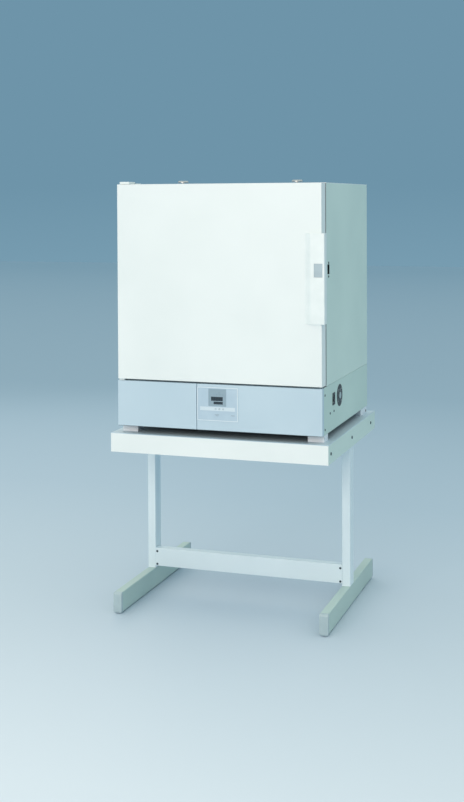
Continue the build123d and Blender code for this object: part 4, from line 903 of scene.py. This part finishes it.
@dataclass
class SideControls:
    """Circuit breaker and over-temperature dial in the right side of the base."""

    side_x: float = 355.0
    breaker: Flat = (-187.5, 740.5)
    flange: float = 1.5
    dial: Flat = (-106.0, 740.5)
    plate: float = 0.8
    tick_radii: tuple[float, float, float] = (17.0, 19.5, 21.0)
    number_radius: float = 27.5
    number_size: float = 6.0
    knob_radius: float = 11.0
    knob_length: float = 2.4
    ticks: int = 31
    sweep_degrees: float = 270.0
    sign_across: float = -10.5
    sign_rise: float = 11.0
    print_height: float = 0.06
    ribs: int = 48

    def build(self) -> None:
        """Dresses the controls and prints their generic signs and scale."""
        dress(BLACK_PHENOLIC, "breaker_body", "breaker_lever", "dial_plate")
        dress(CAP_ABS, "dial_knob")
        dress(GREY_ABS, "thermostat")
        self.breaker_signs()
        self.scale()
        self.knob_grip()

    def breaker_signs(self) -> None:
        """A bar over the lever for on and a ring under it for off."""
        signs = Shape("breaker_signs")
        origin = (self.side_x + self.flange, *self.breaker)
        bar, ring = (self.sign_across, self.sign_rise), (self.sign_across, -self.sign_rise)
        signs.slab(Side.RIGHT, origin, rounded(1.0, 4.0, 0.3, 3, bar), 0.0, self.print_height)
        signs.frame(Side.RIGHT, origin, circle(2.2, 24, ring), circle(1.6, 24, ring), 0.0,
                    self.print_height)
        signs.finish("oven", SCALE_INK, "grey_plastic")

    def tick_angle(self, tick: int) -> float:
        """Angle of one tick, the first at the lower left and the last at the lower right."""
        return math.radians(90 + self.sweep_degrees / 2 - self.sweep_degrees * tick / (self.ticks - 1))

    def scale(self) -> None:
        """Ticks and numbers of degrees round the dial."""
        scale = Shape("dial_scale")
        origin = (self.side_x + self.plate, *self.dial)
        for tick in range(self.ticks):
            angle = self.tick_angle(tick)
            long_tick = tick % 5 == 0
            low, high = self.tick_radii[0], self.tick_radii[2 if long_tick else 1]
            half = 0.4 if long_tick else 0.22
            along = Vector((math.cos(angle), math.sin(angle)))
            across = Vector((-along.y, along.x)) * half
            outline = [tuple(along * low - across), tuple(along * high - across),
                       tuple(along * high + across), tuple(along * low + across)]
            scale.slab(Side.RIGHT, origin, outline, 0.0, self.print_height)
        scale.finish("oven", SCALE_INK, "grey_plastic")
        for mark in range(0, self.ticks, 10):
            self.number(str(mark * 10), self.tick_angle(mark), origin)

    def number(self, words: str, angle: float, origin: Point) -> None:
        """Adds one number of the scale.

        Args:
            words: the number's figures.
            angle: its place round the dial.
            origin: middle of the dial's plate.
        """
        text = bpy.data.curves.new(f"dial_number_{words}", "FONT")
        text.body = words
        text.size = self.number_size * MM
        text.extrude = 0.03 * MM
        text.align_x = "CENTER"
        text.align_y = "CENTER"
        piece = bpy.data.objects.new(f"dial_number_{words}", text)
        bpy.context.scene.collection.objects.link(piece)
        place = Side.RIGHT.point(origin, self.number_radius * math.cos(angle),
                                 self.number_radius * math.sin(angle), 0.04)
        turn = Matrix(((0, 0, 1), (1, 0, 0), (0, 1, 0))).to_4x4()
        piece.matrix_world = Matrix.Translation(Vector(place) * MM) @ turn
        text.materials.append(SCALE_INK.material())
        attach(piece, "oven")

    def knob_grip(self) -> None:
        """Fine knurl round the rim of the dial's disc."""
        ribs = Shape("dial_disc_knurl")
        origin = (self.side_x + self.plate + 0.3, *self.dial)
        middle = self.knob_radius - 0.1
        for rib in range(self.ribs):
            angle = 2 * math.pi * rib / self.ribs
            centre = (middle * math.cos(angle), middle * math.sin(angle))
            rings = [[Side.RIGHT.point(origin, u, v, level) for u, v in circle(radius, 8, centre)]
                     for radius, level in ((0.35, 0.2), (0.35, self.knob_length - 0.9),
                                           (0.15, self.knob_length - 0.6))]
            ribs.loft(rings)
        ribs.finish("dial", CAP_ABS, "grey_plastic", smooth=True)


@dataclass
class Cabinet:
    """Outer panels, front frame, catch and the wool between shell and chamber."""

    rear_y: float = 316.0
    panel_x: float = 340.0
    panel_z: Flat = (808.0, 1438.0)
    rivet_radius: float = 3.5
    rivet_height: float = 1.2
    shell_x: float = 353.4
    wool_x: float = 330.5
    liner_x: float = 301.4
    wool_y: Flat = (-279.4, 314.4)
    wool_z: Flat = (798.5, 1450.4)
    chamber_z: Flat = (850.9, 1391.6)
    chamber_rear_y: float = 262.4
    flat_wool_rear_y: float = 219.0
    edge_screw_x: float = 113.0
    rivet_shank: Flat = (1.5, 0.8)

    def build(self) -> None:
        """Dresses the shell, lays the wool and fastens the rear panel."""
        dress(CABINET_COAT_PAINTED_SHADE, "cabinet_sides", "rear_panel")
        dress(WHITE_ENAMEL, "top_panel", "door_hinges")
        dress(STAINLESS_UPRIGHT, "front_frame")
        dress(BLACK_PHENOLIC, "latch_catch")
        self.wool()
        self.rear_screws()

    def wool(self) -> None:
        """Mineral wool batts with uneven faces, between the shell and the chamber."""
        batts = Shape("wool_batts")
        flat_y = (self.wool_y[0], self.flat_wool_rear_y)
        boxes = (
            ((-self.shell_x, -self.liner_x), self.wool_y, self.wool_z),
            ((self.liner_x, self.wool_x), self.wool_y, self.wool_z),
            ((-self.liner_x, self.liner_x), flat_y, (self.chamber_z[1], self.wool_z[1])),
            ((-self.liner_x, self.liner_x), flat_y, (self.wool_z[0], self.chamber_z[0])),
            ((-self.liner_x, self.liner_x), (self.chamber_rear_y, self.wool_y[1]), self.wool_z),
        )
        for x, y, z in boxes:
            add_batt(batts, x, y, z)
        batts.finish("oven", WOOL, "mineral_wool", ["insulation"], smooth=True)

    def rear_screws(self) -> None:
        """Pan-head screws round the edge of the rear panel."""
        heads = Shape("rear_panel_screws")
        low, high = self.panel_z
        places = [(x, z) for x in (-self.panel_x, self.panel_x) for z in (low, (low + high) / 2, high)]
        places += [(x, z) for x in (-self.edge_screw_x, self.edge_screw_x) for z in (low, high)]
        for x, z in places:
            heads.screw_head(Side.REAR, (x, self.rear_y, z), self.rivet_radius, self.rivet_height,
                             *self.rivet_shank)
        heads.finish("oven", ZINC, "zinc_steel", smooth=True)


# A wool batt: its rings, how far its ends are drawn in, the longest run that stays whole, the parts
# of a longer run, and the size of its dips
BATT_RINGS = 16
BATT_END_INSET = 3.0
BATT_SHORT_RUN = 15
BATT_RUN_PARTS = 8
BATT_DIP_MM = 45.0


def add_batt(batts: Shape, x: Flat, y: Flat, z: Flat, inward: float = 1.6) -> None:
    """Adds one wool batt whose faces lie up to a few millimetres inside its space.

    Args:
        batts: piece that gets the batt.
        x: low and high X of its space.
        y: low and high Y of its space.
        z: low and high Z of its space.
        inward: how far the faces may dip.
    """
    middle = Vector([sum(span) / 2 for span in (x, y, z)])
    width, depth = x[1] - x[0], y[1] - y[0]
    rings = []
    for step in range(BATT_RINGS + 1):
        level = z[0] + (z[1] - z[0]) * step / BATT_RINGS
        edge = BATT_END_INSET if step in (0, BATT_RINGS) else 0.0
        ring = []
        corners = rounded(width - 2 * edge, depth - 2 * edge, 2.0, 2, (middle.x, middle.y))
        runs = [(Vector(corners[i]), Vector(corners[(i + 1) % len(corners)])) for i in range(len(corners))]
        for start, end in runs:
            count = BATT_RUN_PARTS if (end - start).length > BATT_SHORT_RUN else 1
            for part in range(count):
                spot = start.lerp(end, part / count)
                dip = inward * (0.5 + 0.5 * noise.noise(Vector((spot.x, spot.y, level)) / BATT_DIP_MM))
                away = Vector((middle.x - spot.x, middle.y - spot.y))
                away = Vector((math.copysign(min(1.0, abs(away.x)), away.x),
                               math.copysign(min(1.0, abs(away.y)), away.y))) * dip
                ring.append((spot.x + away.x, spot.y + away.y, level))
        rings.append(ring)
    batts.loft(rings)


@dataclass
class Chamber:
    """Stainless chamber with its floor, heaters, probe, runners and shelves."""

    def build(self) -> None:
        """Dresses everything inside the chamber."""
        dress(STAINLESS_DEEP, "chamber_side_walls", "chamber_bottom", "chamber_ceiling")
        dress(STAINLESS, "chamber_rear_wall", "chamber_floor")
        dress(STAINLESS_DEEP, "shelf_runners")
        dress(BRIGHT_WIRE, "lower_shelf", "upper_shelf", "temperature_probe")
        dress(SHEATH, "heaters")


@dataclass
class Exhaust:
    """Two exhaust pipes in the top with their turning damper caps."""

    pipe_x: float = 207.0
    pipe_y: float = -95.0
    cap_radius: float = 18.5
    cap_top_z: float = 1465.0
    pointer_levels: Flat = (-0.3, -0.02)

    def build(self) -> None:
        """Dresses pipes and caps; each cap's pointer lies just under its top face, out of sight."""
        dress(STAINLESS, "exhaust_pipes", "left_exhaust_cap", "right_exhaust_cap")
        for side, name in ((-1, "left"), (1, "right")):
            mark = Shape(f"{name}_cap_pointer")
            origin = (side * self.pipe_x, self.pipe_y, self.cap_top_z)
            outline = rounded(1.6, 6.0, 0.7, 3, (0.0, -self.cap_radius * 0.5))
            mark.slab(Side.TOP, origin, outline, *self.pointer_levels)
            mark.finish(f"{name}_cap", BLACK_PHENOLIC, "black_plastic")


@dataclass
class Door:
    """Door skin, inner panel, core, seal, hinge bushes, handle, key and latch."""

    rear_y: float = -286.0
    middle_z: float = 1140.3
    inner_half_x: float = 305.0
    inner_half_z: float = 255.0
    seal_width: float = 14.0
    seal_height: float = 4.6
    inner_radius: float = 10.0
    core_x: Flat = (-326.0, 332.0)
    core_y: Flat = (-332.2, -287.8)
    core_z: Flat = (800.0, 1448.5)

    def build(self) -> None:
        """Dresses the door's solids and builds its seal and core."""
        dress(WHITE_ENAMEL, "door_skin")
        dress(STAINLESS_UPRIGHT, "door_inner_panel")
        dress(WHITE_ABS, "door_handle")
        dress(GREY_ABS, "push_key")
        dress(ZINC, "latch_hook", "latch_bracket")
        dress(BRASS, "door_hinge_bushes")
        self.seal()
        self.core()

    def seal(self) -> None:
        """Silicone seal: a flat foot with a hollow-looking bulb and a thin lip on each side."""
        seal = Shape("door_seal")
        width, height = self.seal_width, self.seal_height
        profile = [(0.0, 0.0), (0.0, 0.9), (0.8, 1.1), (1.6, 2.4), (3.2, 3.9), (5.2, height),
                   (7.0, height - 0.5), (8.8, height), (10.8, 3.9), (12.4, 2.4), (13.2, 1.1),
                   (width, 0.9), (width, 0.0)]
        rings = []
        origin = (0.0, self.rear_y, self.middle_z)
        for outward, up in profile:
            outline = rounded(2 * (self.inner_half_x + outward), 2 * (self.inner_half_z + outward),
                              self.inner_radius + outward, 8)
            rings.append([Side.REAR.point(origin, u, v, up) for u, v in outline])
        seal.loft(rings, closed=True)
        seal.finish("door", SEAL_RUBBER, "silicone", ["door_gasket"], smooth=True)

    def core(self) -> None:
        """Wool batt between the skin and the inner panel."""
        core = Shape("door_wool")
        add_batt(core, self.core_x, self.core_y, self.core_z)
        core.finish("door", WOOL, "mineral_wool", ["door_core"], smooth=True)


@dataclass(frozen=True)
class SoftBox:
    """One rectangular soft box: its place, the point that it faces, its size and its power."""

    name: str
    place: Point
    target: Point
    size: Flat
    watts: float
    colour: str = "#FFEBDC"

    def build(self) -> None:
        """Adds the light."""
        lamp = bpy.data.lights.new(self.name, "AREA")
        lamp.shape = "RECTANGLE"
        lamp.size, lamp.size_y = self.size[0] * MM, self.size[1] * MM
        lamp.energy = self.watts
        lamp.color = linear(self.colour)[:3]
        light = bpy.data.objects.new(self.name, lamp)
        light.location = Vector(self.place) * MM
        way = (Vector(self.target) - Vector(self.place)).normalized()
        light.rotation_euler = way.to_track_quat("-Z", "Y").to_euler()
        bpy.context.scene.collection.objects.link(light)


@dataclass
class Studio:
    """Pale floor, soft lights and the camera at the photograph's place."""

    camera_place: Point = (1354.63, -4154.03, 1391.64)
    turn_degrees: float = 18.81
    pitch_degrees: float = -1.31
    roll_degrees: float = -0.26
    lens: float = 55.67
    shift_up: float = -0.2132
    sensor_mm: float = 36.0
    clip_m: Flat = (0.1, 60.0)
    floor_reach: float = 22000.0
    floor_levels: Flat = (-20.0, -0.3)
    # A broad soft box in front and a weak one behind on the left
    soft_boxes: tuple[SoftBox, ...] = (
        SoftBox("front_soft_box", (-500, -4600, 2000), (0, 0, 800), (2600, 2200), 76.0),
        SoftBox("rear_soft_box", (-2600, 3400, 2200), (0, 0, 800), (1800, 1800), 10.0))
    # Heights of the direction: straight up is 1, and the ramp starts just under the horizon
    horizon: float = -0.05
    horizon_colour: str = "#779CB0"
    wall_shares: Flat = (0.06, 0.2)
    wall_colour: str = "#6E94A9"
    upper_share: float = 0.32
    upper_colour: str = "#B9C2C0"
    ceiling_heights: Flat = (0.24, 0.4)
    ceiling_strengths: Flat = (1.0, 1.75)

    def build(self) -> None:
        """Builds the floor, the lights, the surroundings and the camera."""
        self.floor()
        self.surroundings()
        for soft_box in self.soft_boxes:
            soft_box.build()
        self.camera()

    def floor(self) -> None:
        """Pale floor with painted shade, palest in front of the stand and deeper behind it."""
        floor = Shape("studio_floor")
        reach = self.floor_reach
        corners = [(-reach, -reach), (reach, -reach), (reach, reach), (-reach, reach)]
        floor.slab(Side.TOP, (0.0, 0.0, 0.0), corners, *self.floor_levels)
        mesh = bpy.data.meshes.new(floor.name)
        mesh.from_pydata([tuple(Vector(point) * MM) for point in floor.points], [], floor.faces)
        mesh.materials.append(FLOOR_PAINTED_SHADE.material())
        piece = bpy.data.objects.new(floor.name, mesh)
        bpy.context.scene.collection.objects.link(piece)

    def surroundings(self) -> None:
        """Cool light from all round, brighter from the ceiling."""
        world = bpy.data.worlds.new("studio_surroundings")
        world.use_nodes = True
        tree = world.node_tree
        background = tree.nodes["Background"]
        way = add_node(tree, "ShaderNodeTexCoord").outputs["Generated"]
        height = add_node(tree, "ShaderNodeSeparateXYZ", {"Vector": way}).outputs["Z"]
        rise = add_node(tree, "ShaderNodeMapRange",
                        {"Value": height, "From Min": self.horizon, "From Max": 1.0})
        ramp = add_node(tree, "ShaderNodeValToRGB", {"Fac": rise.outputs["Result"]})
        stops = ramp.color_ramp.elements
        stops[0].position, stops[0].color = 0.0, linear(self.horizon_colour)
        stops[1].position, stops[1].color = self.upper_share, linear(self.upper_colour)
        for share in self.wall_shares:
            stops.new(share).color = linear(self.wall_colour)
        tree.links.new(ramp.outputs["Color"], background.inputs["Color"])
        # A white ceiling over the studio: it lights the floor and never shows in the picture
        ceiling = add_node(tree, "ShaderNodeMapRange", {
            "Value": height, "From Min": self.ceiling_heights[0], "From Max": self.ceiling_heights[1],
            "To Min": self.ceiling_strengths[0], "To Max": self.ceiling_strengths[1]})
        tree.links.new(ceiling.outputs["Result"], background.inputs["Strength"])
        bpy.context.scene.world = world
        # Shown without a film curve, so that the white coat keeps its own value
        bpy.context.scene.view_settings.view_transform = "Standard"

    def camera(self) -> None:
        """Camera with the place, turn and framing of the photograph."""
        lens = bpy.data.cameras.new("photo_camera")
        lens.lens = self.lens
        lens.sensor_width = self.sensor_mm
        lens.shift_y = self.shift_up
        lens.clip_start, lens.clip_end = self.clip_m
        camera = bpy.data.objects.new("photo_camera", lens)
        upright = Euler((math.radians(90 + self.pitch_degrees), 0.0, math.radians(self.turn_degrees)))
        roll = Matrix.Rotation(math.radians(self.roll_degrees), 4, "Z")
        camera.matrix_world = (Matrix.Translation(Vector(self.camera_place) * MM)
                               @ upright.to_matrix().to_4x4() @ roll)
        bpy.context.scene.collection.objects.link(camera)
        bpy.context.scene.camera = camera


def main() -> None:
    """Builds every sub-assembly in order and reports it."""
    logging.basicConfig(level=logging.INFO, format="%(name)s: %(message)s")
    for part in (FloorStand(), Base(), Controller(), SideControls(), Cabinet(), Chamber(), Exhaust(),
                 Door(), Studio()):
        part.build()
        LOG.info("built %s", type(part).__name__)


if __name__ == "__main__":
    main()
